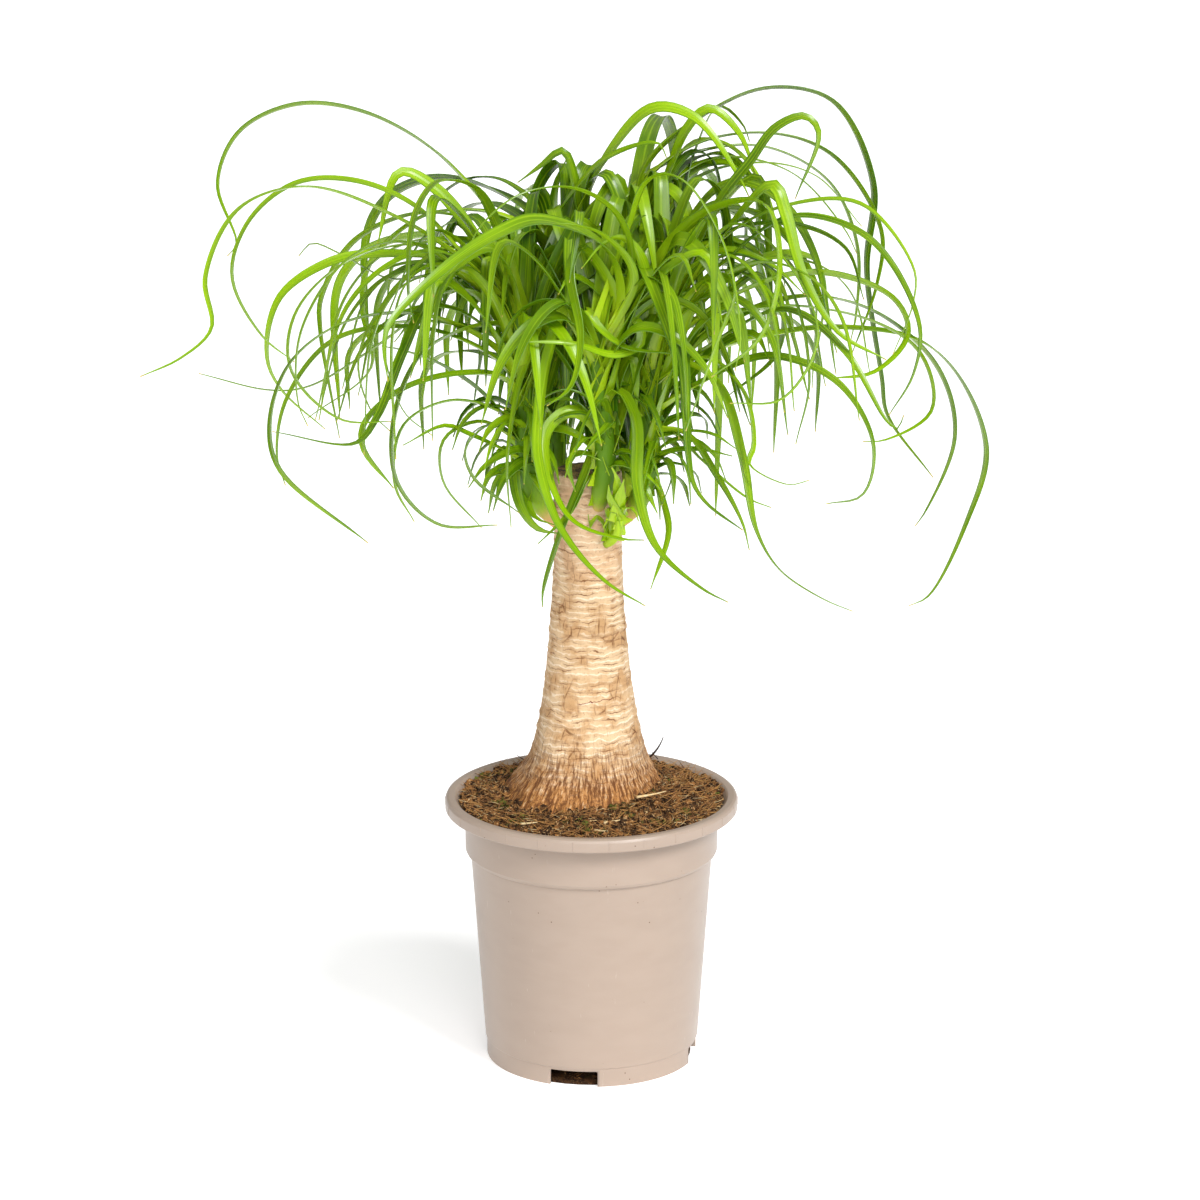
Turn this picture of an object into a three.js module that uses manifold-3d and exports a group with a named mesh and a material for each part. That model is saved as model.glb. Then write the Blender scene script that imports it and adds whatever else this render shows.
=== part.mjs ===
// Potted ponytail palm: a nursery pot, its soil, a flared ringed trunk with a sawn top,
// and six leafy shoots of long arching strap leaves.
// Millimetres, +Z up. The origin is on the floor under the pot's axis, and the front faces -Y.

import * as THREE from 'three';
import { mergeVertices } from 'three/addons/utils/BufferGeometryUtils.js';
import Module from 'manifold-3d';

const wasm = await Module();
wasm.setup();

// Clearance left between pieces that touch.
const GAP = 0.3;

// Short edges left where pieces are joined or cut are closed up, by the first of these lengths
// that leaves two faces on every edge. Vertices nearer than the last length are one.
const SHORT_EDGES = [0.05, 0.08, 0.12, 0.03, 0.18, 0.25, 0.02, 0.01];
const SAME_PLACE = 1e-3;

// Pot.
const POT_HEIGHT = 177;
const POT_SIDES = 44;
const RIM_RADIUS = 95;
const RIM_BAND = 9;
const RIM_LIP = 7.6;
const COLLAR_RADIUS = 82;
const COLLAR_FOOT = 138;
const BODY_TOP_RADIUS = 78.5;
const BODY_FOOT_RADIUS = 69.7;
const FOOT_SEAM = 12;
const FOOT_RADIUS = 68.8;
const FOOT_RING = 3;
const WALL = 1.8;
const FLOOR_UNDERSIDE = 10.5;
const FLOOR_THICKNESS = 2;
const NOTCH_WIDTH = 31;
const NOTCH_REACH = 12;
const NOTCH_RISE = 0.6;
const NOTCH_TURN = -9.7;
const NOTCHES = 4;
const DRAIN_RADIUS = 4.5;
const DRAIN_RING = 57;
const DRAINS = 8;
const DRAIN_SIDES = 10;

// Soil.
const SOIL_LEVEL = 170;
const SOIL_BUMP = 1.1;
const SOIL_MOUND = 28;

// Trunk.
const TRUNK_SIDES = 22;
const TRUNK_TOP = 394;
const TRUNK_FOOT = 128;
const TRUNK_X = -2.2;
const TRUNK_HEAD_RADIUS = 22;
const TRUNK_TAPER = 7;
const BULB_TOP = 330;
const BULB_SWELL = 21;
const BULB_POWER = 3.2;
const ROOT_TAPER = 22;
const COLLAR_TOP = 214;
const COLLAR_SWELL = 13;
const COLLAR_LEAN = -6;
const SAWN_EDGE = 1.5;
const RING_STEP = 10;
const RING_RELIEF = 0.7;

// Shoots and leaves.
const STEM_SIDES = 8;
const STEM_STEPS = 6;
const LEAF_STEP = 58;
const LEAF_MIN_STEPS = 3;
const LEAF_MAX_STEPS = 8;
const LEAF_TURNED_AWAY = 3.5;
const LEAF_WIDEST = 13;
const LEAF_NARROWEST = 6;
const LEAF_KEELS = [1.3, 1.33, 1.27, 1.36, 1.24, 1.39];
const ROOT_RADIUS = 2.6;
const ROOT_RISE = 0.4;
const TIP_WIDTH = 1.6;
const GOLDEN_SHARE = 0.618034;
const MOST_TWIST = THREE.MathUtils.degToRad(60);
const TWIST_PACE = 1.7;
const CLEAR_ROUNDS = 40;
const CLEARANCE = 1.6;

// The eye that the leaf readings below were taken from: 3 m in front, 1.16 m up.
const EYE = new THREE.Vector3(5.6, -3000, 1163);

const COLOURS = {
  pot: 0xc8b4a5,
  soil: 0x5a3d26,
  bark: 0xd3b48c,
  leaf: 0x5fae1e,
  bud: 0xb9c94a,
};

const UP = new THREE.Vector3(0, 0, 1);

function finish(colour, roughness) {
  return new THREE.MeshStandardMaterial({ color: colour, roughness, metalness: 0 });
}

// A closed body with shared vertices, no collapsed triangles and its faces pointing out.
function closedBody(source) {
  source.deleteAttribute('normal');
  source.deleteAttribute('uv');
  const merged = mergeVertices(source, 1e-4);
  const index = merged.index.array;
  const kept = [];
  for (let i = 0; i < index.length; i += 3) {
    const [a, b, c] = [index[i], index[i + 1], index[i + 2]];
    if (a !== b && b !== c && c !== a) {
      kept.push(a, b, c);
    }
  }
  merged.setIndex(kept);
  if (signedVolume(merged) < 0) {
    for (let i = 0; i < kept.length; i += 3) {
      [kept[i], kept[i + 1]] = [kept[i + 1], kept[i]];
    }
    merged.setIndex(kept);
  }
  return merged;
}

function signedVolume(geometry) {
  const place = geometry.attributes.position;
  const index = geometry.index.array;
  const a = new THREE.Vector3();
  const b = new THREE.Vector3();
  const c = new THREE.Vector3();
  let volume = 0;
  for (let i = 0; i < index.length; i += 3) {
    a.fromBufferAttribute(place, index[i]);
    b.fromBufferAttribute(place, index[i + 1]);
    c.fromBufferAttribute(place, index[i + 2]);
    volume += a.dot(b.cross(c)) / 6;
  }
  return volume;
}

function solidOf(source) {
  const body = closedBody(source);
  const mesh = new wasm.Mesh({
    numProp: 3,
    vertProperties: new Float32Array(body.attributes.position.array),
    triVerts: new Uint32Array(body.index.array),
  });
  return new wasm.Manifold(mesh);
}

function geometryOf(solid) {
  const mesh = solid.getMesh();
  const geometry = new THREE.BufferGeometry();
  geometry.setAttribute('position', new THREE.BufferAttribute(new Float32Array(mesh.vertProperties), 3));
  geometry.setIndex(new THREE.BufferAttribute(new Uint32Array(mesh.triVerts), 1));
  return geometry;
}

// Whether every edge of a triangle mesh has two faces on it, and no triangle is collapsed.
function isClosed(geometry) {
  const index = mergeVertices(geometry.clone(), SAME_PLACE).index.array;
  const faces = new Map();
  for (let i = 0; i < index.length; i += 3) {
    for (let k = 0; k < 3; k += 1) {
      const from = index[i + k];
      const to = index[i + ((k + 1) % 3)];
      if (from === to) {
        return false;
      }
      const edge = `${Math.min(from, to)} ${Math.max(from, to)}`;
      faces.set(edge, (faces.get(edge) ?? 0) + 1);
    }
  }
  return [...faces.values()].every((count) => count === 2);
}

// The largest body of a solid: scraps are dropped and sealed hollows are filled.
function mainBody(solid) {
  for (const length of SHORT_EDGES) {
    const bodies = solid.simplify(length).decompose();
    bodies.sort((first, second) => second.volume() - first.volume());
    const geometry = geometryOf(bodies[0]);
    if (isClosed(geometry)) {
      return geometry;
    }
  }
  return null;
}

// A profile of [radius, height] pairs turned about the Z axis.
function turned(profile, sides) {
  const outline = profile.map(([radius, height]) => new THREE.Vector2(radius, height));
  const geometry = new THREE.LatheGeometry(outline, sides);
  geometry.rotateX(Math.PI / 2);
  return geometry;
}

function named(name, geometry, material) {
  const mesh = new THREE.Mesh(geometry, material);
  mesh.name = name;
  return mesh;
}

// Radius of the pot's outer wall at a height between the seam and the collar.
function bodyRadius(height) {
  const share = (height - FOOT_SEAM) / (COLLAR_FOOT - FOOT_SEAM);
  return BODY_FOOT_RADIUS + (BODY_TOP_RADIUS - BODY_FOOT_RADIUS) * share;
}

// The inner face of the pot, from the floor's corner up to the rim, as [radius, height] pairs.
function potInside() {
  const floorTop = FLOOR_UNDERSIDE + FLOOR_THICKNESS;
  const rimInside = RIM_RADIUS - RIM_LIP;
  return [
    [bodyRadius(floorTop) - WALL - 1.4, floorTop],
    [bodyRadius(floorTop + 2) - WALL, floorTop + 2],
    [bodyRadius(COLLAR_FOOT - 2) - WALL, COLLAR_FOOT - 2],
    [COLLAR_RADIUS - WALL, COLLAR_FOOT + 3],
    [COLLAR_RADIUS - 0.4, POT_HEIGHT - 11],
    [rimInside, POT_HEIGHT - 1.6],
  ];
}

function makePot() {
  const rimFoot = POT_HEIGHT - RIM_BAND;
  const lipInside = RIM_RADIUS - WALL;
  const outside = [
    [0, FLOOR_UNDERSIDE],
    [FOOT_RADIUS - FOOT_RING, FLOOR_UNDERSIDE],
    [FOOT_RADIUS - FOOT_RING, 0],
    [FOOT_RADIUS, 0],
    [FOOT_RADIUS, FOOT_SEAM],
    [BODY_FOOT_RADIUS, FOOT_SEAM + 0.8],
    [BODY_TOP_RADIUS, COLLAR_FOOT],
    [COLLAR_RADIUS - 1, COLLAR_FOOT + 1.4],
    [COLLAR_RADIUS, COLLAR_FOOT + 3.5],
    [COLLAR_RADIUS + 0.2, POT_HEIGHT - 14],
    [COLLAR_RADIUS + 1.2, POT_HEIGHT - 11.2],
    [RIM_RADIUS - RIM_LIP + 1.6, POT_HEIGHT - 2.2],
    [lipInside, POT_HEIGHT - 2.2],
    [lipInside, rimFoot + 0.5],
    [RIM_RADIUS - 0.9, rimFoot],
    [RIM_RADIUS, rimFoot + 0.9],
    [RIM_RADIUS, POT_HEIGHT - 2.4],
    [RIM_RADIUS - 0.8, POT_HEIGHT - 0.7],
    [RIM_RADIUS - 2.4, POT_HEIGHT],
    [RIM_RADIUS - RIM_LIP + 1.6, POT_HEIGHT],
  ];
  const inside = potInside().reverse();
  const centre = [0, FLOOR_UNDERSIDE + FLOOR_THICKNESS];
  let solid = solidOf(turned([...outside, ...inside, centre], POT_SIDES));

  for (let i = 0; i < NOTCHES; i += 1) {
    const notch = new THREE.BoxGeometry(NOTCH_WIDTH, NOTCH_REACH, FLOOR_UNDERSIDE + NOTCH_RISE);
    notch.translate(0, -FOOT_RADIUS, (FLOOR_UNDERSIDE - NOTCH_RISE) / 2);
    notch.rotateZ(THREE.MathUtils.degToRad(NOTCH_TURN + (360 / NOTCHES) * i));
    solid = solid.subtract(solidOf(notch));
  }
  for (let i = 0; i < DRAINS; i += 1) {
    const drain = new THREE.CylinderGeometry(DRAIN_RADIUS, DRAIN_RADIUS, 4 * FLOOR_THICKNESS, DRAIN_SIDES);
    drain.rotateX(Math.PI / 2);
    drain.translate(0, -DRAIN_RING, FLOOR_UNDERSIDE + FLOOR_THICKNESS / 2);
    drain.rotateZ(THREE.MathUtils.degToRad(NOTCH_TURN + (360 / DRAINS) * i));
    solid = solid.subtract(solidOf(drain));
  }
  return named('pot', mainBody(solid), finish(COLOURS.pot, 0.45));
}

// Share of the root collar's flare at a height: none above it, and all of it from the soil down.
function collarShare(height) {
  return THREE.MathUtils.clamp((COLLAR_TOP - height) / (COLLAR_TOP - SOIL_LEVEL), 0, 1) ** 2;
}

// Trunk radius at a height: straight near the head, and flared to a bulb at the soil.
function trunkRadius(height) {
  const flare = THREE.MathUtils.clamp((BULB_TOP - height) / (BULB_TOP - SOIL_LEVEL), 0, 1);
  const buried = THREE.MathUtils.clamp((SOIL_LEVEL - height) / (SOIL_LEVEL - TRUNK_FOOT), 0, 1);
  const bulb = TRUNK_TAPER * flare + BULB_SWELL * flare ** BULB_POWER;
  return TRUNK_HEAD_RADIUS + bulb + COLLAR_SWELL * collarShare(height) - ROOT_TAPER * buried ** 2;
}

// The trunk with its leaf-scar rings, wavy bark and sawn top, made larger all round by grow.
function trunkBody(grow) {
  const profile = [[0, TRUNK_FOOT - grow]];
  profile.push([trunkRadius(TRUNK_FOOT) - 8 + grow, TRUNK_FOOT - grow]);
  profile.push([trunkRadius(TRUNK_FOOT + 6) + grow, TRUNK_FOOT + 6]);
  profile.push([trunkRadius(TRUNK_FOOT + 22) + grow, TRUNK_FOOT + 22]);
  for (let height = SOIL_LEVEL - 6; height < TRUNK_TOP - RING_STEP / 2; height += RING_STEP) {
    profile.push([trunkRadius(height) + grow, height]);
    profile.push([trunkRadius(height + 6) + RING_RELIEF + grow, height + RING_STEP * 0.62]);
  }
  profile.push([trunkRadius(TRUNK_TOP) + grow, TRUNK_TOP - SAWN_EDGE]);
  profile.push([trunkRadius(TRUNK_TOP) - SAWN_EDGE + grow, TRUNK_TOP + grow]);
  profile.push([0, TRUNK_TOP + grow]);
  const geometry = turned(profile, TRUNK_SIDES);
  const place = geometry.attributes.position;
  const point = new THREE.Vector3();
  for (let i = 0; i < place.count; i += 1) {
    point.fromBufferAttribute(place, i);
    const turn = Math.atan2(point.y, point.x);
    const wave = barkWave(turn, point.z);
    place.setX(i, point.x * wave + TRUNK_X + COLLAR_LEAN * collarShare(point.z));
    place.setY(i, point.y * wave);
  }
  return geometry;
}

// How far the trunk strays from round at a turn and height: a slow lean all the way up, and
// five root lobes that grow below 260 mm.
function barkWave(turn, height) {
  const low = THREE.MathUtils.clamp((260 - height) / 90, 0, 1);
  const lean = 0.02 * Math.sin(2 * turn + height / 34);
  const lobes = 0.035 * low * Math.sin(5 * turn + 0.6);
  return 1 + lean + lobes;
}

function makeTrunk() {
  return named('trunk', closedBody(trunkBody(0)), finish(COLOURS.bark, 0.85));
}

function makeSoil() {
  const wall = potInside().map(([radius, height]) => [radius - 2 * GAP, height]);
  wall[0][1] += GAP;
  const top = wall.pop();
  const shoulder = wall[wall.length - 1];
  const edge = [top[0] - 3.4, SOIL_LEVEL];
  const crumbs = [edge];
  for (let radius = 76; radius > 30; radius -= 9) {
    crumbs.push([radius, SOIL_LEVEL]);
  }
  const profile = [[0, wall[0][1]], ...wall, ...crumbs, [0, SOIL_LEVEL]];
  const geometry = turned(profile, POT_SIDES);
  const place = geometry.attributes.position;
  for (let i = 0; i < place.count; i += 1) {
    const x = place.getX(i);
    const y = place.getY(i);
    const z = place.getZ(i);
    if (z > shoulder[1] + 1 && Math.hypot(x, y) < edge[0] - 1) {
      const bump = Math.sin(x / 6.1 + 1) * Math.cos(y / 5.3) + 0.7 * Math.sin(x / 3.7 - y / 4.4);
      const mound = SOIL_MOUND * (1 - Math.hypot(x, y) / edge[0]);
      place.setZ(i, z + SOIL_BUMP * bump + mound);
    }
  }
  const solid = solidOf(geometry).subtract(solidOf(trunkBody(GAP)));
  return named('soil', mainBody(solid), finish(COLOURS.soil, 0.95));
}

// Stem centrelines as [x, y, z], with the radius at the base and at the head.
const STEMS = {
  shoot_left: {
    route: [[-20, -2, 358], [-33, -9, 376], [-40, -12, 400], [-42, -13, 440], [-46, -12, 500]],
    base: 8,
    head: 5.5,
  },
  shoot_front: {
    route: [[2, -12, 366], [6, -23, 384], [9, -29, 402], [7, -33, 440], [3, -33, 492]],
    base: 7.5,
    head: 5.5,
  },
  shoot_front_bud: {
    route: [[7, -14, 344], [12, -27, 353], [16, -35, 363], [17, -38, 373]],
    base: 6,
    head: 4.2,
  },
  shoot_right: {
    route: [[18, -4, 360], [30, -9, 376], [35, -11, 400], [38, -11, 438], [44, -9, 492]],
    base: 8,
    head: 5.5,
  },
  shoot_back_left: {
    route: [[-11, 13, 360], [-20, 24, 380], [-24, 29, 410], [-21, 29, 470], [-17, 26, 528]],
    base: 8,
    head: 5.5,
  },
  shoot_back_right: {
    route: [[10, 14, 360], [20, 24, 380], [25, 29, 410], [26, 29, 470], [30, 26, 528]],
    base: 8,
    head: 5.5,
  },
};

// Leaves read from the front, grouped by shoot. Each one gives the height of its root on the
// stem, its seen width, how far behind the trunk's axis its tip lies, and points along it from
// the root outwards, as [across, up] on the plane through the trunk's axis.
const READ_LEAVES = {
  shoot_left: [
    [490, 5, -62, [[-75, 525], [-112, 565], [-150, 581], [-186, 579], [-215, 555], [-226, 520],
      [-208, 482], [-188, 465]]],
    [495, 5.5, -192, [[-80, 528], [-124, 558], [-180, 577], [-222, 562], [-243, 519], [-240, 486],
      [-260, 467], [-286, 455]]],
    [480, 6, -18, [[-70, 522], [-95, 531], [-130, 534], [-162, 530], [-196, 507], [-205, 469],
      [-197, 448], [-169, 421]]],
    [475, 4, 20, [[-73, 519], [-98, 503], [-139, 472], [-180, 448], [-205, 446], [-249, 457]]],
    [470, 8, -116, [[-77, 509], [-100, 505], [-119, 470], [-136, 428], [-150, 411], [-203, 419]]],
    [450, 7, -104, [[-52, 485], [-72, 487], [-105, 471], [-124, 430], [-123, 386], [-98, 359],
      [-60, 358]]],
    [430, 9, -84, [[-55, 452], [-81, 456], [-120, 446], [-144, 424], [-145, 409], [-126, 382]]],
    [440, 6, -160, [[-60, 471], [-105, 494], [-155, 490], [-190, 464], [-204, 424], [-198, 394],
      [-143, 346]]],
    [435, 4.5, -42, [[-60, 465], [-108, 486], [-162, 479], [-193, 441], [-200, 403], [-195, 384]]],
    [485, 4, 6, [[-85, 520], [-127, 518], [-158, 534], [-176, 541], [-184, 533]]],
    [495, 8, -78, [[-62, 557], [-75, 577], [-96, 580], [-110, 560], [-115, 511], [-112, 490]]],
    [415, 4, -62, [[-56, 430], [-88, 439], [-119, 423], [-125, 385], [-113, 360]]],
    [410, 3, -34, [[-70, 425], [-93, 414], [-94, 387], [-70, 356]]],
    [405, 3.5, -50, [[-59, 425], [-79, 409], [-75, 390], [-46, 366]]],
    [495, 2.5, -98, [[-99, 538], [-150, 531], [-186, 497], [-190, 460], [-160, 428], [-127, 426]]],
    [490, 2.5, -128, [[-110, 540], [-150, 533], [-183, 485], [-186, 439], [-180, 423]]],
    [490, 2, -30, [[-98, 528], [-137, 520], [-162, 480], [-162, 452]]],
    [500, 3, -52, [[-88, 538], [-128, 505], [-147, 466], [-139, 432], [-128, 420]]],
    [498, 2.5, -88, [[-98, 549], [-124, 505], [-131, 480], [-119, 433], [-101, 417]]],
    [400, 2.5, -20, [[-79, 418], [-93, 423], [-120, 410]]],
    [402, 5, -20, [[-57, 408], [-62, 396]]],
    [392, 3, -16, [[-58, 392], [-68, 387]]],
    [396, 6, -38, [[-49, 400], [-49, 385], [-44, 367], [-34, 355], [-20, 352]]],
    [385, 5, -30, [[-44, 386], [-42, 376], [-35, 363], [-23, 358]]],
    [492, 3.5, -62, [[-38, 480], [-46, 447], [-53, 400], [-51, 356]]],
  ],
  shoot_front: [
    [470, 13, -178, [[16, 508], [8, 538], [-33, 556], [-60, 547], [-95, 523], [-128, 489],
      [-131, 475], [-129, 452]]],
    [480, 4, -122, [[24, 520], [17, 558], [-11, 576], [-45, 572], [-70, 551], [-78, 535]]],
    [485, 6, -66, [[34, 522], [20, 545], [8, 541], [-6, 525]]],
    [483, 4, -88, [[27, 519], [8, 546], [-13, 553], [-30, 553]]],
    [450, 12, -112, [[0, 475], [-15, 497], [-26, 470], [-33, 425], [-33, 402], [-20, 358],
      [8, 322], [35, 304]]],
    [412, 6, -76, [[2, 425], [-12, 433], [-27, 422], [-28, 398], [-12, 362], [20, 349], [34, 348]]],
    [400, 10, -98, [[9, 428], [17, 445], [27, 428], [29, 382], [41, 343], [71, 315], [88, 306]]],
    [470, 10, -126, [[29, 495], [45, 508], [56, 478], [61, 405], [65, 384], [74, 371], [97, 354]]],
    [480, 12, -92, [[14, 500], [7, 521], [-6, 537], [-12, 525], [-6, 480], [-13, 448], [-28, 436]]],
    [400, 8, -48, [[5, 407], [-4, 388], [-19, 352], [-31, 312], [-31, 303]]],
    [396, 4, -42, [[0, 388], [-14, 365], [-34, 345]]],
    [402, 6, -40, [[-1, 403], [-10, 404], [-14, 398], [-10, 380]]],
    [488, 4, -74, [[16, 496], [30, 491], [31, 477], [16, 470], [-12, 477], [-45, 478]]],
    [490, 3, -62, [[-3, 500], [5, 487], [22, 474], [52, 470]]],
    [490, 4, -108, [[24, 550], [35, 580], [47, 585], [60, 579], [84, 538], [94, 480], [91, 459]]],
  ],
  shoot_front_bud: [
    [366, 7, -42, [[12, 374], [11, 384]]],
    [368, 7, -44, [[19, 378], [21, 388]]],
    [370, 5, -46, [[17, 380], [16, 390], [13, 396]]],
    [362, 4, -44, [[21, 368], [27, 368], [30, 360]]],
  ],
  shoot_right: [
    [480, 8, -20, [[65, 530], [82, 569], [100, 593], [116, 615], [134, 622], [142, 612], [128, 570]]],
    [485, 9, -58, [[57, 506], [88, 551], [114, 578], [122, 560], [133, 522], [156, 484], [187, 466]]],
    [480, 9, -90, [[44, 528], [74, 561], [108, 566], [118, 530], [107, 482], [76, 455]]],
    [490, 2.5, -34, [[85, 545], [127, 566], [170, 566], [203, 525], [203, 503], [191, 470]]],
    [485, 5, -48, [[80, 525], [127, 558], [175, 544], [207, 490], [204, 457], [189, 430]]],
    [490, 5, -6, [[80, 545], [127, 553], [160, 538], [172, 505]]],
    [465, 7, 4, [[82, 502], [139, 522], [190, 506], [200, 483], [180, 459], [150, 454]]],
    [455, 6, 170, [[92, 476], [160, 486], [216, 473], [251, 410], [240, 360], [216, 310],
      [204, 304]]],
    [450, 6, 124, [[78, 484], [131, 506], [176, 498], [219, 461], [231, 415], [213, 366], [207, 357]]],
    [445, 6, -66, [[69, 470], [124, 498], [161, 471], [188, 426], [195, 421], [199, 430]]],
    [455, 4, 36, [[87, 494], [151, 498], [206, 473], [216, 433], [187, 414], [173, 413]]],
    [430, 5.5, -36, [[65, 447], [112, 468], [155, 452], [179, 412], [173, 378], [150, 372]]],
    [445, 11, -164, [[55, 463], [78, 451], [95, 403], [105, 353], [121, 327], [149, 308],
      [168, 300]]],
    [445, 5, -104, [[71, 467], [96, 445], [103, 410], [100, 398], [126, 384], [139, 387]]],
    [490, 2.5, -118, [[90, 553], [118, 535], [143, 482], [121, 441], [88, 438]]],
    [490, 3, -76, [[85, 533], [121, 518], [138, 455], [130, 411]]],
    [485, 4, -14, [[80, 536], [111, 529], [135, 508]]],
    [398, 3, -34, [[47, 401], [51, 392], [45, 371]]],
    [415, 4, -52, [[48, 420], [70, 400], [100, 375], [115, 369]]],
    [420, 6, -80, [[58, 418], [80, 389], [97, 357], [101, 341]]],
    [412, 3.5, -28, [[62, 419], [78, 417], [92, 408]]],
    [404, 3, -12, [[55, 407], [72, 407], [90, 403]]],
    [388, 3.5, -48, [[38, 388], [47, 367], [49, 352], [38, 315]]],
  ],
  shoot_back_left: [
    [512, 6, 88, [[-58, 556], [-100, 601], [-145, 625], [-185, 629], [-220, 612], [-234, 579],
      [-223, 541], [-229, 533]]],
    [515, 5, 44, [[-56, 549], [-105, 560], [-148, 543], [-170, 506], [-171, 487], [-160, 415]]],
    [520, 5, 66, [[-51, 556], [-81, 562], [-107, 557], [-139, 528], [-144, 500], [-139, 461],
      [-180, 428]]],
    [525, 8, 20, [[-9, 550], [-13, 590], [-18, 600], [-32, 590], [-46, 580]]],
    [520, 5, 40, [[-24, 560], [-22, 580], [-15, 596]]],
    [520, 11, -12, [[-8, 554], [12, 598], [39, 627], [65, 621], [94, 581], [99, 571]]],
    [522, 6, 2, [[-27, 545], [-18, 563], [9, 595], [42, 605], [47, 596]]],
  ],
  shoot_back_right: [
    [525, 8, 72, [[35, 588], [71, 622], [110, 639], [150, 631], [176, 580], [173, 525],
      [184, 454], [188, 430], [218, 389]]],
    [520, 4.5, 48, [[32, 575], [64, 603], [110, 611], [151, 597], [182, 550], [180, 515],
      [165, 470]]],
    [520, 6, 108, [[20, 562], [34, 583], [71, 600], [110, 602], [149, 580], [167, 540],
      [167, 494], [164, 478]]],
    [515, 4, 138, [[60, 577], [100, 592], [141, 584], [170, 552]]],
    [525, 8, 22, [[39, 552], [49, 585], [61, 615], [74, 627], [92, 612], [103, 585]]],
    [520, 7, 60, [[52, 549], [65, 598], [80, 628], [95, 616], [99, 606]]],
    [522, 2.5, 90, [[40, 565], [73, 594], [124, 587], [160, 549], [167, 535]]],
    [520, 6, 134, [[60, 585], [85, 592], [102, 575], [104, 530], [107, 510], [114, 461]]],
    [500, 5, 84, [[60, 530], [100, 540], [120, 502], [117, 470], [86, 442]]],
  ],
};

// Leaves that grow away from the front, drawn by rule: how many, the sector of directions in
// degrees from +X, the reach of the longest, and how far the lowest and the highest one rise.
const RULED_LEAVES = [
  { shoot: 'shoot_back_left', count: 11, from: 90, to: 158, reach: 172, rises: [28, 48], seed: 11 },
  { shoot: 'shoot_back_right', count: 11, from: 26, to: 92, reach: 172, rises: [38, 80], seed: 29 },
];

// Numbers from 0 to 1, in the same order on every build.
function seededDraw(seed) {
  let state = seed;
  return () => {
    state = (state * 1664525 + 1013904223) % 4294967296;
    return state / 4294967296;
  };
}

// The true point at a depth behind the trunk's axis that is seen at [across, up] on the axis plane.
function seenPoint(across, up, depth) {
  const stretch = 1 + depth / -EYE.y;
  return new THREE.Vector3(
    EYE.x + (across - EYE.x) * stretch,
    depth,
    EYE.z + (up - EYE.z) * stretch,
  );
}

// The point of a stem's centreline at a height.
function stemPoint(stem, height) {
  const route = stem.route;
  let i = 1;
  while (i < route.length - 1 && route[i][2] < height) {
    i += 1;
  }
  const [low, high] = [route[i - 1], route[i]];
  const share = (height - low[2]) / (high[2] - low[2]);
  return new THREE.Vector3(...low).lerp(new THREE.Vector3(...high), share);
}

function easeInOut(share) {
  return share * share * (3 - 2 * share);
}

// Each leaf has a root place of its own round the stem: a little further round and up than the last.
function rootPoint(shoot, rootHeight, order) {
  const turn = 2 * Math.PI * ((order * GOLDEN_SHARE) % 1);
  const root = stemPoint(STEMS[shoot], rootHeight + ROOT_RISE * (order % 7));
  root.x += ROOT_RADIUS * Math.cos(turn);
  root.y += ROOT_RADIUS * Math.sin(turn);
  return root;
}

// A read leaf: its depth grows from the stem's to the tip's along its seen length.
function readLeaf(shoot, [rootHeight, seenWidth, tipDepth, marks], order) {
  const root = rootPoint(shoot, rootHeight, order);
  const lengths = [0];
  let last = [root.x, root.z];
  for (const mark of marks) {
    lengths.push(lengths.at(-1) + Math.hypot(mark[0] - last[0], mark[1] - last[1]));
    last = mark;
  }
  const points = [root];
  marks.forEach(([across, up], i) => {
    const share = easeInOut(lengths[i + 1] / lengths.at(-1));
    points.push(seenPoint(across, up, root.y + (tipDepth - root.y) * share));
  });
  return { shoot, points, seenWidth };
}

// A ruled leaf: it rises from the stem, arches over and hangs.
function ruledLeaf(shoot, root, direction, reach, rise, fall, seenWidth) {
  const arch = [[0.12, 0.62], [0.36, 0.95], [0.64, 0.98], [0.88, 0.66], [1, 0.1]];
  const points = [root];
  for (const [out, up] of arch) {
    points.push(new THREE.Vector3(
      root.x + Math.cos(direction) * reach * out,
      root.y + Math.sin(direction) * reach * out,
      root.z + rise * up,
    ));
  }
  const tip = points.at(-1).clone();
  tip.z = root.z - fall;
  points.push(tip);
  return { shoot, points, seenWidth };
}

function ruledLeaves({ shoot, count, from, to, reach, rises, seed }) {
  const draw = seededDraw(seed);
  const leaves = [];
  for (let i = 0; i < count; i += 1) {
    const share = ((i + 1) * GOLDEN_SHARE) % 1;
    const direction = THREE.MathUtils.degToRad(from + (to - from) * share);
    const level = i / (count - 1);
    const rootHeight = 420 + 95 * level;
    const rise = THREE.MathUtils.lerp(...rises, level) + 8 * draw();
    const fall = 20 + 90 * draw() - 30 * level;
    const ownReach = reach * (0.62 + 0.38 * draw());
    const root = rootPoint(shoot, rootHeight, i + 0.5);
    leaves.push(ruledLeaf(shoot, root, direction, ownReach, rise, fall, 8 + 4 * draw()));
  }
  return leaves;
}

function allLeaves() {
  const leaves = [];
  for (const [shoot, rows] of Object.entries(READ_LEAVES)) {
    rows.forEach((row, order) => {
      leaves.push(readLeaf(shoot, row, order));
    });
  }
  for (const rule of RULED_LEAVES) {
    leaves.push(...ruledLeaves(rule));
  }
  return leaves;
}

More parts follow.
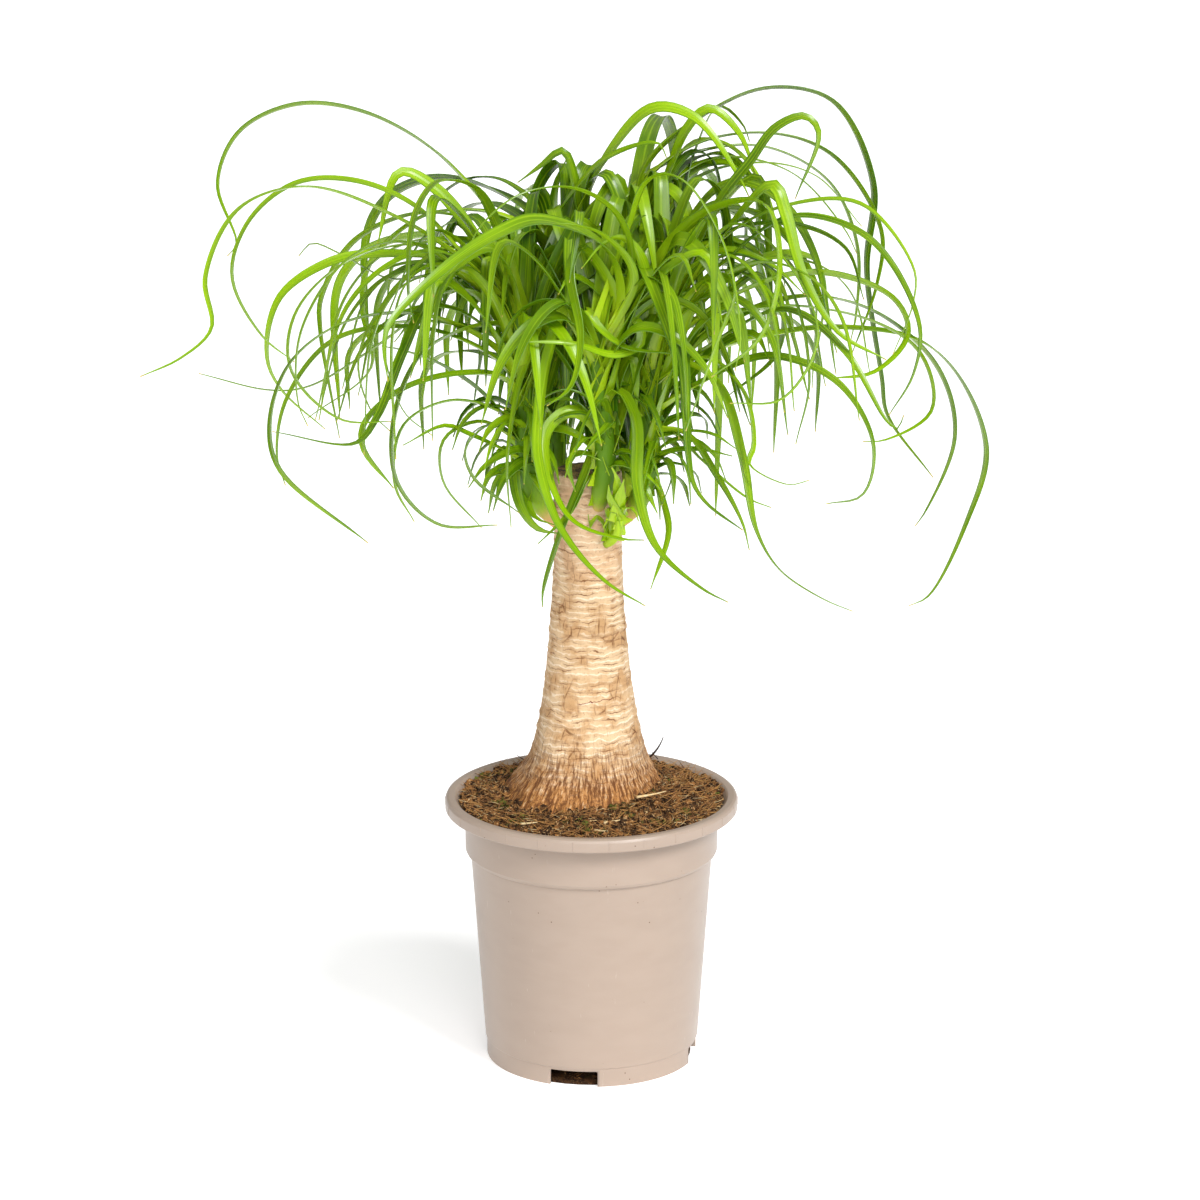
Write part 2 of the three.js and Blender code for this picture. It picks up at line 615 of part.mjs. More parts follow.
// Evenly spaced stations along the leaf's curve, its full width, and how it is turned.
function layLeaf(leaf) {
  const curve = new THREE.CatmullRomCurve3(leaf.points, false, 'centripetal');
  const length = curve.getLength();
  const steps = Math.round(THREE.MathUtils.clamp(length / LEAF_STEP, LEAF_MIN_STEPS, LEAF_MAX_STEPS));
  leaf.stations = curve.getSpacedPoints(steps);
  const wide = leaf.seenWidth + LEAF_TURNED_AWAY;
  leaf.width = THREE.MathUtils.clamp(wide, LEAF_NARROWEST, LEAF_WIDEST);
  const root = leaf.points[0];
  const outermost = leaf.points.reduce((best, point) => {
    const here = Math.hypot(point.x - root.x, point.y - root.y);
    return here > Math.hypot(best.x - root.x, best.y - root.y) ? point : best;
  }, root);
  leaf.outward = new THREE.Vector3(outermost.x - root.x, outermost.y - root.y, 0).normalize();
  const towardsFront = Math.atan2(-leaf.outward.y, Math.abs(leaf.outward.x));
  const face = Math.asin(Math.min(1, leaf.seenWidth / leaf.width));
  const turns = [face - towardsFront, -face - towardsFront];
  const least = Math.abs(turns[0]) <= Math.abs(turns[1]) ? turns[0] : turns[1];
  const handed = leaf.outward.x < 0 ? -least : least;
  leaf.twist = THREE.MathUtils.clamp(handed, -MOST_TWIST, MOST_TWIST);
}

function leafWidth(leaf, share) {
  const taper = 1 - 0.25 * share - 0.65 * share ** 4;
  return Math.max(TIP_WIDTH, leaf.width * taper);
}

// The shortest line between two station spans: its length, and its place along each span.
function closest(a, b, c, d) {
  const first = b.clone().sub(a);
  const second = d.clone().sub(c);
  const between = a.clone().sub(c);
  const aa = first.dot(first);
  const bb = second.dot(second);
  const ab = first.dot(second);
  const ar = first.dot(between);
  const br = second.dot(between);
  const slope = aa * bb - ab * ab;
  let s = slope > 1e-6 ? THREE.MathUtils.clamp((ab * br - ar * bb) / slope, 0, 1) : 0;
  const t = THREE.MathUtils.clamp((ab * s + br) / bb, 0, 1);
  s = THREE.MathUtils.clamp((ab * t - ar) / aa, 0, 1);
  const onFirst = a.clone().addScaledVector(first, s);
  const onSecond = c.clone().addScaledVector(second, t);
  return { s, t, onFirst, onSecond, apart: onFirst.distanceTo(onSecond) };
}

// Moves the stations about a place on a leaf in depth, along the line of sight, root held.
function pushInDepth(leaf, station, amount) {
  const spread = [0.25, 0.7, 1, 0.7, 0.25];
  spread.forEach((share, i) => {
    const at = station + i - 2;
    if (at < 1 || at >= leaf.stations.length) {
      return;
    }
    const hold = Math.min(1, at / 2);
    const point = leaf.stations[at];
    const sight = point.clone().sub(EYE);
    sight.divideScalar(sight.y);
    point.addScaledVector(sight, amount * share * hold);
  });
}

// Leaves of different shoots that would cross are bent clear of each other.
function bendClear(leaves) {
  for (let round = 0; round < CLEAR_ROUNDS; round += 1) {
    let moved = 0;
    for (let i = 0; i < leaves.length; i += 1) {
      for (let k = i + 1; k < leaves.length; k += 1) {
        if (leaves[i].shoot !== leaves[k].shoot) {
          moved += partLeaves(leaves[i], leaves[k]);
        }
      }
    }
    if (moved === 0) {
      return;
    }
  }
}

function partLeaves(one, other) {
  let moved = 0;
  for (let i = 0; i < one.stations.length - 1; i += 1) {
    for (let k = 0; k < other.stations.length - 1; k += 1) {
      const near = closest(
        one.stations[i], one.stations[i + 1], other.stations[k], other.stations[k + 1],
      );
      const oneShare = (i + near.s) / (one.stations.length - 1);
      const otherShare = (k + near.t) / (other.stations.length - 1);
      const half = (leafWidth(one, oneShare) + leafWidth(other, otherShare)) / 2;
      const short = half * 0.8 + CLEARANCE - near.apart;
      if (short > 0) {
        const side = near.onFirst.y < near.onSecond.y ? -1 : 1;
        pushInDepth(one, Math.round(i + near.s), side * short * 0.5);
        pushInDepth(other, Math.round(k + near.t), -side * short * 0.5);
        moved += 1;
      }
    }
  }
  return moved;
}

// A slim three-sided blade: two edges and a keel, laid along the leaf's stations.
function leafBody(leaf, keel) {
  const steps = leaf.stations.length - 1;
  const blade = new THREE.CylinderGeometry(1, 1, 1, 3, steps);
  const place = blade.attributes.position;
  let level = UP.clone().cross(leaf.outward);
  const frames = leaf.stations.map((station, i) => {
    const before = leaf.stations[Math.max(0, i - 1)];
    const after = leaf.stations[Math.min(steps, i + 1)];
    const along = after.clone().sub(before).normalize();
    level = level.clone().addScaledVector(along, -level.dot(along)).normalize();
    const side = level.clone();
    side.applyAxisAngle(along, leaf.twist * easeInOut(Math.min(1, (TWIST_PACE * i) / steps)));
    return { station, side, face: along.clone().cross(side) };
  });
  for (let i = 0; i < place.count; i += 1) {
    const share = 0.5 - place.getY(i);
    const { station, side, face } = frames[Math.round(share * steps)];
    const across = (place.getX(i) / Math.sin(Math.PI / 3)) * 0.5 * leafWidth(leaf, share);
    const under = -((place.getZ(i) + 0.5) / 1.5) * keel;
    const corner = station.clone().addScaledVector(side, across).addScaledVector(face, under);
    place.setXYZ(i, corner.x, corner.y, corner.z);
  }
  splitAlike(blade, steps);
  return blade;
}

// Splits the squares of a blade's flat side as those of its keel are split, so that a twisted
// blade doesn't cross itself.
function splitAlike(blade, steps) {
  const squares = blade.index.array;
  const column = 6 * steps;
  for (let i = column; i < 2 * column; i += 6) {
    const [a, b, d, , c] = squares.slice(i, i + 6);
    squares.set([a, b, c, a, c, d], i);
  }
}

// The sheathed stem, a tapered round body along its centreline.
function stemBody(stem) {
  const curve = new THREE.CatmullRomCurve3(stem.route.map((point) => new THREE.Vector3(...point)));
  const tube = new THREE.CylinderGeometry(1, 1, 1, STEM_SIDES, STEM_STEPS);
  const place = tube.attributes.position;
  for (let i = 0; i < place.count; i += 1) {
    const share = 0.5 - place.getY(i);
    const centre = curve.getPointAt(share);
    const along = curve.getTangentAt(share);
    const side = new THREE.Vector3(1, 0, 0).addScaledVector(along, -along.x).normalize();
    const face = along.clone().cross(side);
    const radius = THREE.MathUtils.lerp(stem.base, stem.head, share);
    const corner = centre.addScaledVector(side, place.getX(i) * radius);
    corner.addScaledVector(face, place.getZ(i) * radius);
    place.setXYZ(i, corner.x, corner.y, corner.z);
  }
  return tube;
}

// One leafy shoot: its stem and leaves fused, and cut clear of the trunk that it grows on.
// The keels are the first depth that fuses with two faces on every edge.
function makeShoot(name, leaves, trunk) {
  const stem = solidOf(stemBody(STEMS[name]));
  const own = leaves.filter((leaf) => leaf.shoot === name);
  const colour = name === 'shoot_front_bud' ? COLOURS.bud : COLOURS.leaf;
  for (const keel of LEAF_KEELS) {
    const blades = own.map((leaf) => solidOf(leafBody(leaf, keel)));
    const solid = blades.reduce((whole, blade) => whole.add(blade), stem);
    const geometry = mainBody(solid.subtract(trunk));
    if (geometry) {
      return named(name, geometry, finish(colour, 0.4));
    }
  }
  throw new Error(`${name} keeps an edge with more than two faces`);
}

const leaves = allLeaves();
leaves.forEach(layLeaf);
bendClear(leaves);

const group = new THREE.Group();
group.add(makePot());
group.add(makeSoil());
group.add(makeTrunk());
const trunkWithGap = solidOf(trunkBody(GAP));
for (const name of Object.keys(STEMS)) {
  group.add(makeShoot(name, leaves, trunkWithGap));
}

export default group;
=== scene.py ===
"""Potted ponytail palm: the looks of pot, soil, trunk and leafy shoots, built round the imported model."""

import math
import random

import bmesh
import bpy
from mathutils import Matrix, Vector, noise


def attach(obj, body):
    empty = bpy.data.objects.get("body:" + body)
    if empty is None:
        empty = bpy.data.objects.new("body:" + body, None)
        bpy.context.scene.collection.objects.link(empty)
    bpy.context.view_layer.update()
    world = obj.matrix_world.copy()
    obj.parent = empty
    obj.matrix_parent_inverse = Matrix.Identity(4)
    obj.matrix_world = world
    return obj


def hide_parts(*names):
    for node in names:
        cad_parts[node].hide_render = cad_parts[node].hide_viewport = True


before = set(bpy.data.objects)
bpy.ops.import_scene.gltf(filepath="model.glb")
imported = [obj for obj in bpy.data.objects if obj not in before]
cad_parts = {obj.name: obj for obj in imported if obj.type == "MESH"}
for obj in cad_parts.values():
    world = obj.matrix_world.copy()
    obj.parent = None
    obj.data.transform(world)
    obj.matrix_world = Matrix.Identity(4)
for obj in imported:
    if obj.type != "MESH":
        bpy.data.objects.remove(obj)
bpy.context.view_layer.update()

# --- Pot ---------------------------------------------------------------------------------------
# A round nursery pot of taupe polypropylene, injection moulded in one shot: a rolled rim, a
# stacking collar, a tapered wall and a foot ring with four drainage notches. Its satin skin has
# light scuffs from handling and a few soil specks.

# A millimetre in metres. All sizes below are in mm.
MM = 0.001
POT_HEIGHT = 177
POT_STEPS = 144
RIM_RADIUS = 95
RIM_BAND = 9
RIM_LIP = 7.6
COLLAR_RADIUS = 82
COLLAR_FOOT = 138
BODY_TOP_RADIUS = 78.5
BODY_FOOT_RADIUS = 69.7
FOOT_SEAM = 12
FOOT_RADIUS = 68.8
FOOT_RING = 3
WALL = 1.8
FLOOR_UNDERSIDE = 10.5
FLOOR_THICKNESS = 2
NOTCH_WIDTH = 31
NOTCH_DEPTH = 12
NOTCH_PLAY = 0.6
NOTCH_ROUNDING = 1.2
NOTCH_TURN = -9.7
NOTCHES = 4
DRAIN_RADIUS = 4.5
DRAIN_RING = 57
DRAINS = 8
RIM_TICKS = 26
TICK_TURN = 7
TICK_DEPTH = 0.9
TICK_HEIGHT = 5.4
TICK_ROUNDING = 0.12
EDGE_ROUNDING = 0.3

POT_TAUPE = "#a89688"
POT_TAUPE_DEEP = "#a59385"
POT_SCUFF = "#cbbdb1"
SOIL_SPECK = "#5e4430"


def linear(hex_colour):
    """An sRGB hex colour as linear red, green, blue and alpha."""
    channels = [int(hex_colour[i:i + 2], 16) / 255 for i in (1, 3, 5)]
    return [c / 12.92 if c <= 0.04045 else ((c + 0.055) / 1.055) ** 2.4 for c in channels] + [1.0]


def feed(tree, node, inputs):
    """Sets a node's inputs: each to a value, to a hex colour, or to the socket that feeds it."""
    for socket, value in inputs.items():
        if isinstance(value, bpy.types.NodeSocket):
            tree.links.new(value, node.inputs[socket])
        else:
            node.inputs[socket].default_value = linear(value) if isinstance(value, str) else value


def add_node(tree, kind, inputs, output=0, **settings):
    """Adds a shader node with its inputs and its own settings, and gives the output asked for."""
    node = tree.nodes.new("ShaderNode" + kind)
    for name, value in settings.items():
        setattr(node, name, value)
    feed(tree, node, inputs)
    return node.outputs[output]


def new_material(name):
    """An empty node material and its tree."""
    material = bpy.data.materials.new(name)
    material.use_nodes = True
    return material, material.node_tree


def finished(material, sockets):
    """The material, with these values and sockets on its surface shader."""
    feed(material.node_tree, material.node_tree.nodes["Principled BSDF"], sockets)
    return material


def share_of(tree, *spans):
    """A share from 0 to 1: the product of its spans. A span is a socket or a number, or a socket
    with the values where it is none and all, and what all comes to if that isn't 1."""
    product = None
    for span in spans:
        if isinstance(span, tuple):
            ends = dict(zip(("Value", "From Min", "From Max", "To Max"), span))
            span = add_node(tree, "MapRange", ends, interpolation_type="SMOOTHSTEP")
        if product is None:
            product = span
        else:
            product = add_node(tree, "Math", {0: product, 1: span}, operation="MULTIPLY")
    return product


def painted(tree, under, over, *spans):
    """A colour laid over another, as far as the spans let it show."""
    return add_node(tree, "Mix", {0: share_of(tree, *spans), 6: under, 7: over}, 2, data_type="RGBA")


def pot_polypropylene():
    """Moulded polypropylene: satin, very slightly see-into, with faint flow marks and rubbed scuffs."""
    material, tree = new_material("satin_moulded_polypropylene_taupe")
    place = add_node(tree, "TexCoord", {}, "Object")
    cloud = add_node(tree, "TexNoise", {"Vector": place, "Scale": 1 / (40 * MM), "Detail": 3.0})
    flow_space = add_node(tree, "Mapping", {"Vector": place, "Scale": (1.0, 1.0, 2.5)})
    flow = add_node(tree, "TexNoise", {"Vector": flow_space, "Scale": 1 / (25 * MM), "Detail": 4.0})
    tilted = {"Vector": place, "Scale": (1.0, 1.0, 0.12), "Rotation": (0.0, 0.22, 0.0)}
    scratch_space = add_node(tree, "Mapping", tilted)
    scratch = add_node(tree, "TexNoise", {"Vector": scratch_space, "Scale": 1 / (1.6 * MM), "Detail": 2.0})
    scuffs = share_of(tree, (scratch, 0.70, 0.76), (cloud, 0.45, 0.62))
    grime = add_node(tree, "TexVoronoi", {"Vector": place, "Scale": 1 / (6 * MM)}, "Distance")
    base = painted(tree, POT_TAUPE, POT_TAUPE_DEEP, (flow, 0.3, 0.75))
    base = painted(tree, base, POT_SCUFF, scuffs, 0.5)
    base = painted(tree, base, SOIL_SPECK, (grime, 0.085, 0.05), (flow, 0.56, 0.6))
    worn = {"Value": cloud, "From Min": 0.3, "From Max": 0.7, "To Min": 0.3, "To Max": 0.36}
    grain = add_node(tree, "TexNoise", {"Vector": place, "Scale": 1 / (0.9 * MM), "Detail": 2.0})
    dents = add_node(tree, "Math", {0: grain, 1: scuffs}, operation="SUBTRACT")
    return finished(material, {
        "Base Color": base,
        "Roughness": add_node(tree, "MapRange", worn),
        "Normal": add_node(tree, "Bump", {"Strength": 0.12, "Distance": 0.1 * MM, "Height": dents}),
        "Specular IOR Level": 0.36,
        "IOR": 1.49,
        "Subsurface Weight": 0.06,
        "Subsurface Radius": (1.0, 0.6, 0.4),
        "Subsurface Scale": 1.5 * MM,
    })


def body_radius(height):
    """Radius of the pot's outer wall between the seam and the collar."""
    share = (height - FOOT_SEAM) / (COLLAR_FOOT - FOOT_SEAM)
    return BODY_FOOT_RADIUS + (BODY_TOP_RADIUS - BODY_FOOT_RADIUS) * share


def pot_inside():
    """The pot's inner face from the floor's corner up to the rim, as radius and height."""
    floor_top = FLOOR_UNDERSIDE + FLOOR_THICKNESS
    return [
        (body_radius(floor_top) - WALL - 1.4, floor_top),
        (body_radius(floor_top + 2) - WALL, floor_top + 2),
        (body_radius(COLLAR_FOOT - 2) - WALL, COLLAR_FOOT - 2),
        (COLLAR_RADIUS - WALL, COLLAR_FOOT + 3),
        (COLLAR_RADIUS - 0.4, POT_HEIGHT - 11),
        (RIM_RADIUS - RIM_LIP, POT_HEIGHT - 1.6),
    ]


def spun(profile, steps):
    """A bmesh of a profile of radius and height in mm, spun once about the pot's axis."""
    bm = bmesh.new()
    points = [bm.verts.new((radius * MM, 0, height * MM)) for radius, height in profile]
    edges = [bm.edges.new(pair) for pair in zip(points, points[1:])]
    bmesh.ops.spin(bm, geom=points + edges, cent=(0, 0, 0), axis=(0, 0, 1), angle=2 * math.pi,
                   steps=steps, use_merge=True, use_duplicate=False)
    bmesh.ops.remove_doubles(bm, verts=bm.verts, dist=0.01 * MM)
    bmesh.ops.recalc_face_normals(bm, faces=bm.faces)
    return bm


def as_piece(name, bm, material, crease=40):
    """A finished object from a bmesh: smooth, but sharp where faces meet at more than crease degrees."""
    mesh = bpy.data.meshes.new(name)
    bm.to_mesh(mesh)
    bm.free()
    mesh.materials.append(material)
    mesh.polygons.foreach_set("use_smooth", [True] * len(mesh.polygons))
    mesh.set_sharp_from_angle(angle=math.radians(crease))
    piece = bpy.data.objects.new(name, mesh)
    bpy.context.collection.objects.link(piece)
    return piece


def merge_into(whole, part):
    """Adds a small bmesh to a large one and frees it: the operators are quick on small ones."""
    scrap = bpy.data.meshes.new("scrap")
    part.to_mesh(scrap)
    part.free()
    whole.from_mesh(scrap)
    bpy.data.meshes.remove(scrap)


def pot_profile():
    """The pot's section from the underside out, up the outside, over the rim and back in to the floor."""
    rim_foot = POT_HEIGHT - RIM_BAND
    lip_inside = RIM_RADIUS - WALL
    outside = [
        (0, FLOOR_UNDERSIDE),
        (FOOT_RADIUS - FOOT_RING, FLOOR_UNDERSIDE),
        (FOOT_RADIUS - FOOT_RING, 0),
        (FOOT_RADIUS, 0),
        (FOOT_RADIUS, FOOT_SEAM),
        (BODY_FOOT_RADIUS, FOOT_SEAM + 0.8),
        (BODY_TOP_RADIUS, COLLAR_FOOT),
        (COLLAR_RADIUS - 1, COLLAR_FOOT + 1.4),
        (COLLAR_RADIUS, COLLAR_FOOT + 3.5),
        (COLLAR_RADIUS + 0.2, POT_HEIGHT - 14),
        (COLLAR_RADIUS + 1.2, POT_HEIGHT - 11.2),
        (RIM_RADIUS - RIM_LIP + 1.6, POT_HEIGHT - 2.2),
        (lip_inside, POT_HEIGHT - 2.2),
        (lip_inside, rim_foot + 0.5),
        (RIM_RADIUS - 0.9, rim_foot),
        (RIM_RADIUS, rim_foot + 0.9),
        (RIM_RADIUS, POT_HEIGHT - 2.4),
        (RIM_RADIUS - 0.8, POT_HEIGHT - 0.7),
        (RIM_RADIUS - 2.4, POT_HEIGHT),
        (RIM_RADIUS - RIM_LIP + 1.6, POT_HEIGHT),
    ]
    return outside + pot_inside()[::-1] + [(0, FLOOR_UNDERSIDE + FLOOR_THICKNESS)]


def notch_cutters():
    """The blocks and plugs that leave the foot's notches and the floor's drain holes."""
    bm = bmesh.new()
    size = Matrix.Diagonal((NOTCH_WIDTH * MM, NOTCH_DEPTH * MM, (FLOOR_UNDERSIDE + NOTCH_PLAY) * MM, 1))
    for i in range(NOTCHES):
        turn = Matrix.Rotation(math.radians(NOTCH_TURN + i * 360 / NOTCHES), 4, "Z")
        block = Matrix.Translation((0, -FOOT_RADIUS * MM, (FLOOR_UNDERSIDE - NOTCH_PLAY) / 2 * MM))
        bmesh.ops.create_cube(bm, size=1, matrix=turn @ block @ size)
    corners = [
        edge for edge in bm.edges
        if min(vert.co.z for vert in edge.verts) > FLOOR_UNDERSIDE / 2 * MM
        and edge.calc_length() < (NOTCH_DEPTH + 1) * MM
    ]
    bmesh.ops.bevel(bm, geom=corners, offset=NOTCH_ROUNDING * MM, segments=3, profile=0.5,
                    affect="EDGES", material=-1)
    for i in range(DRAINS):
        turn = Matrix.Rotation(math.radians(NOTCH_TURN + i * 360 / DRAINS), 4, "Z")
        place = Matrix.Translation((0, -DRAIN_RING * MM, (FLOOR_UNDERSIDE + FLOOR_THICKNESS / 2) * MM))
        bmesh.ops.create_cone(bm, cap_ends=True, segments=24, radius1=DRAIN_RADIUS * MM,
                              radius2=DRAIN_RADIUS * MM, depth=4 * FLOOR_THICKNESS * MM, matrix=turn @ place)
    return bm


def cut(piece, cutter_bm):
    """Cuts the cutters out of a piece and keeps the result as its mesh."""
    cutter = as_piece("cutter", cutter_bm, piece.data.materials[0])
    boolean = piece.modifiers.new("notches", "BOOLEAN")
    boolean.operation = "DIFFERENCE"
    boolean.solver = "EXACT"
    boolean.object = cutter
    depsgraph = bpy.context.evaluated_depsgraph_get()
    done = bpy.data.meshes.new_from_object(piece.evaluated_get(depsgraph))
    piece.modifiers.clear()
    piece.data = done
    bpy.data.objects.remove(cutter)


pot_bm = spun(pot_profile(), POT_STEPS)
rings = [e for e in pot_bm.edges if len(e.link_faces) == 2 and e.calc_face_angle() > math.radians(35)]
bmesh.ops.bevel(pot_bm, geom=rings, offset=EDGE_ROUNDING * MM, segments=2, profile=0.5, affect="EDGES",
                material=-1, clamp_overlap=True)
pot = as_piece("pot_moulded", pot_bm, pot_polypropylene(), crease=21)
cut(pot, notch_cutters())

tick_bm = bmesh.new()
for i in range(RIM_TICKS):
    turn = Matrix.Rotation(math.radians(TICK_TURN + i * 360 / RIM_TICKS), 4, "Z")
    place = Matrix.Translation((0, -(RIM_RADIUS - 0.25) * MM, (POT_HEIGHT - RIM_BAND * 0.52) * MM))
    size = Matrix.Diagonal((TICK_DEPTH * MM, TICK_DEPTH * MM, TICK_HEIGHT * MM, 1))
    bmesh.ops.create_cube(tick_bm, size=1, matrix=turn @ place @ size)
bmesh.ops.bevel(tick_bm, geom=tick_bm.edges[:], offset=TICK_ROUNDING * MM, segments=1, profile=0.5,
                affect="EDGES", material=-1)
ticks = as_piece("pot_rim_ticks", tick_bm, pot.data.materials[0])
for piece in (pot, ticks):
    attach(piece, "root")
    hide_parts("pot")

# --- Soil --------------------------------------------------------------------------------------
# The root ball: damp brown peat and coir pressed round the trunk's foot, mounded towards it. Its
# top is crumbly, with loose coir fibres, dark roots, pale straws and sticks, dark twigs and specks
# of moss. A little of it has washed out under the pot and shows through the notches. Painted shade
# darkens the soil between the crumbs and the washed soil under the pot.

SOIL_LEVEL = 170
SOIL_RINGS = 40
SOIL_STEPS = 150
SOIL_GAP = 0.6
SOIL_EDGE = 85.3
SOIL_MOUND = 28
SOIL_EDGE_TOP = 174.4
# From here out, the mound fills up to the lip.
SOIL_SHOULDER = 76
CRUMBS = 3000
CRUMB_SIZES = (0.8, 1.0, 1.3, 1.7, 2.2, 3.0)
STRAND_LIMIT = 86.5
WASHED_STRANDS = 90
# Small pieces made at a time: the mesh operators are slow on large meshes.
BATCH = 50
SOIL_DARK = "#2e1b0e"
SOIL_BROWN = "#9c6a3a"
SOIL_LIGHT = "#e6bd88"
COIR_PALE = "#d3b07a"
COIR_BROWN = "#b08348"
MOSS_GREEN = "#66702a"
TWIG_DARK = "#3a2a22"
STRAW_PALE = "#dcc79a"


def peat_and_coir():
    """Damp peat: matt, almost no gloss, lighter on dry crumbs, and painted dark as shade between crumbs and
    under the pot.
    """
    material, tree = new_material("loose_peat_and_coir")
    place = add_node(tree, "TexCoord", {}, "Object")
    lump = add_node(tree, "TexNoise", {"Vector": place, "Scale": 1 / (3.5 * MM), "Detail": 5.0})
    grit = add_node(tree, "TexNoise", {"Vector": place, "Scale": 1 / (1.1 * MM), "Detail": 4.0})
    moss = add_node(tree, "TexNoise", {"Vector": place, "Scale": 1 / (16 * MM), "Detail": 2.0})
    shade_and_tone = add_node(tree, "Attribute", {}, "Fac", attribute_name="shade_and_tone")
    base = painted(tree, SOIL_DARK, SOIL_BROWN, (lump, 0.43, 0.62))
    base = painted(tree, base, SOIL_LIGHT, (grit, 0.52, 0.74))
    base = painted(tree, base, MOSS_GREEN, (moss, 0.58, 0.66), (grit, 0.42, 0.56))
    # Painted shade: the soil goes dark by a per-vertex share, high in the gaps between crumbs and under the
    # pot; on the crumbs it varies at random.
    base = painted(tree, base, SOIL_DARK, shade_and_tone)
    bump = add_node(tree, "Bump", {"Strength": 0.8, "Distance": 0.8 * MM, "Height": grit})
    return finished(material, {
        "Base Color": base, "Normal": bump, "Roughness": 0.95, "Specular IOR Level": 0.2,
    })


def plain_fibre(name, first, second, grain_mm):
    """Dry plant fibre: matt, streaked between two browns along its length."""
    material, tree = new_material(name)
    place = add_node(tree, "TexCoord", {}, "Object")
    streak = add_node(tree, "TexNoise", {"Vector": place, "Scale": 1 / (grain_mm * MM), "Detail": 3.0})
    base = painted(tree, first, second, (streak, 0.35, 0.65))
    bump = add_node(tree, "Bump", {"Strength": 0.4, "Distance": 0.2 * MM, "Height": streak})
    return finished(material, {"Base Color": base, "Normal": bump, "Roughness": 0.8})


def held(value):
    """A value held between 0 and 1."""
    return min(1, max(0, value))


def soil_height(x, y):
    """Height in mm of the soil's top at a place: a lumpy mound, filled up to the lip at the rim."""
    out = math.hypot(x, y)
    mound = 1.5 + SOIL_MOUND * (1 - out / SOIL_EDGE)
    lumps = 3.0 * noise.noise((x / 15, y / 15, 3.1))
    fine = 2.6 * noise.noise((x / 5, y / 5, 9.4)) + 1.3 * noise.noise((x / 2, y / 2, 1.7))
    middle = SOIL_LEVEL + mound + lumps + fine
    return middle + (SOIL_EDGE_TOP - middle) * held((out - SOIL_SHOULDER) / (SOIL_EDGE - SOIL_SHOULDER))


soil_wall = [(radius - SOIL_GAP, height) for radius, height in pot_inside()[:-1]]
soil_wall[0] = (soil_wall[0][0], soil_wall[0][1] + 0.3)
soil_rows = [(SOIL_EDGE * (1 - i / SOIL_RINGS), SOIL_LEVEL) for i in range(SOIL_RINGS)]
soil_profile = [(0, soil_wall[0][1])] + soil_wall + soil_rows + [(0, SOIL_LEVEL)]
soil_bm = spun(soil_profile, SOIL_STEPS)
shade_and_tone_layer = soil_bm.verts.layers.float.new("shade_and_tone")
for vert in soil_bm.verts:
    x, y, z = vert.co / MM
    # The soil surface between the crumbs is painted 0.8 of the way to dark: a painted shade in the gaps.
    vert[shade_and_tone_layer] = 0.8
    if z > SOIL_LEVEL - 0.5:
        vert.co.z = soil_height(x, y) * MM
soil = as_piece("soil_root_ball", soil_bm, peat_and_coir(), crease=180)


def trunk_foot_radius(turn):
    """How far the trunk reaches from the pot's axis at the soil, in mm."""
    return 53 - 6 * math.cos(turn) + 1.5 * math.sin(5 * turn + 0.6)


def soil_spot(draw, inner, outer=85.0):
    """A random place on the open soil, in mm."""
    while True:
        x, y = draw.uniform(-outer, outer), draw.uniform(-outer, outer)
        if trunk_foot_radius(math.atan2(y, x)) + inner < math.hypot(x, y) < outer:
            return x, y


draw = random.Random(41)
crumb_bm = bmesh.new()
crumb_bm.verts.layers.float.new("shade_and_tone")
batch = bmesh.new()
for i in range(CRUMBS):
    if i % BATCH == 0:
        merge_into(crumb_bm, batch)
        batch = bmesh.new()
        batch_shade_and_tone = batch.verts.layers.float.new("shade_and_tone")
    x, y = soil_spot(draw, -2.0)
    size = draw.choice(CRUMB_SIZES) * draw.uniform(0.7, 1.2)
    # Each crumb's darkness is drawn at random.
    shade = draw.uniform(0.0, 1.0) ** 2 * 0.9
    spot = Matrix.Translation((x * MM, y * MM, (soil_height(x, y) + 0.3 * size) * MM))
    angle = draw.uniform(0, 6.28)
    turn = Matrix.Rotation(angle, 4, Vector((draw.random(), draw.random(), 0.3)).normalized())
    broad, thick = size * draw.uniform(0.5, 1) * MM, size * draw.uniform(0.4, 0.9) * MM
    shape = Matrix.Diagonal((size * MM, broad, thick, 1))
    grown = bmesh.ops.create_icosphere(batch, subdivisions=1, radius=1, matrix=spot @ turn @ shape)
    for vert in grown["verts"]:
        vert[batch_shade_and_tone] = shade
        push = Vector((draw.uniform(-1, 1), draw.uniform(-1, 1), draw.uniform(-1, 1)))
        vert.co += push * 0.22 * size * MM
merge_into(crumb_bm, batch)
crumbs = as_piece("soil_crumbs", crumb_bm, soil.data.materials[0], crease=60)


def grow_strand(bm, start, heading, length, radius, curl, steps=6, sides=3):
    """Extrudes a thin tapering strand, sized in mm, from a ring of few sides, turning at each step."""
    start, length, radius = Vector(start) * MM, length * MM, radius * MM
    heading, curl = Vector(heading).normalized(), Vector(curl)
    bend = Matrix.Rotation(curl.length / steps, 3, curl.normalized())
    ring = bmesh.ops.create_circle(bm, cap_ends=True, segments=sides, radius=radius)["verts"]
    aim = heading.to_track_quat("Z", "Y").to_matrix().to_4x4()
    bmesh.ops.transform(bm, matrix=Matrix.Translation(start) @ aim, verts=ring)
    edges = list({edge for vert in ring for edge in vert.link_edges})
    for i in range(steps):
        grown = bmesh.ops.extrude_edge_only(bm, edges=edges)["geom"]
        ring = [part for part in grown if isinstance(part, bmesh.types.BMVert)]
        edges = [part for part in grown if isinstance(part, bmesh.types.BMEdge)]
        centre = sum((vert.co for vert in ring), Vector()) / len(ring)
        heading = bend @ heading
        slim = 1 - 0.75 * (i + 1) / steps
        for vert in ring:
            away = bend @ (vert.co - centre)
            vert.co = centre + heading * length / steps + away.normalized() * radius * slim
    bmesh.ops.contextual_create(bm, geom=edges)


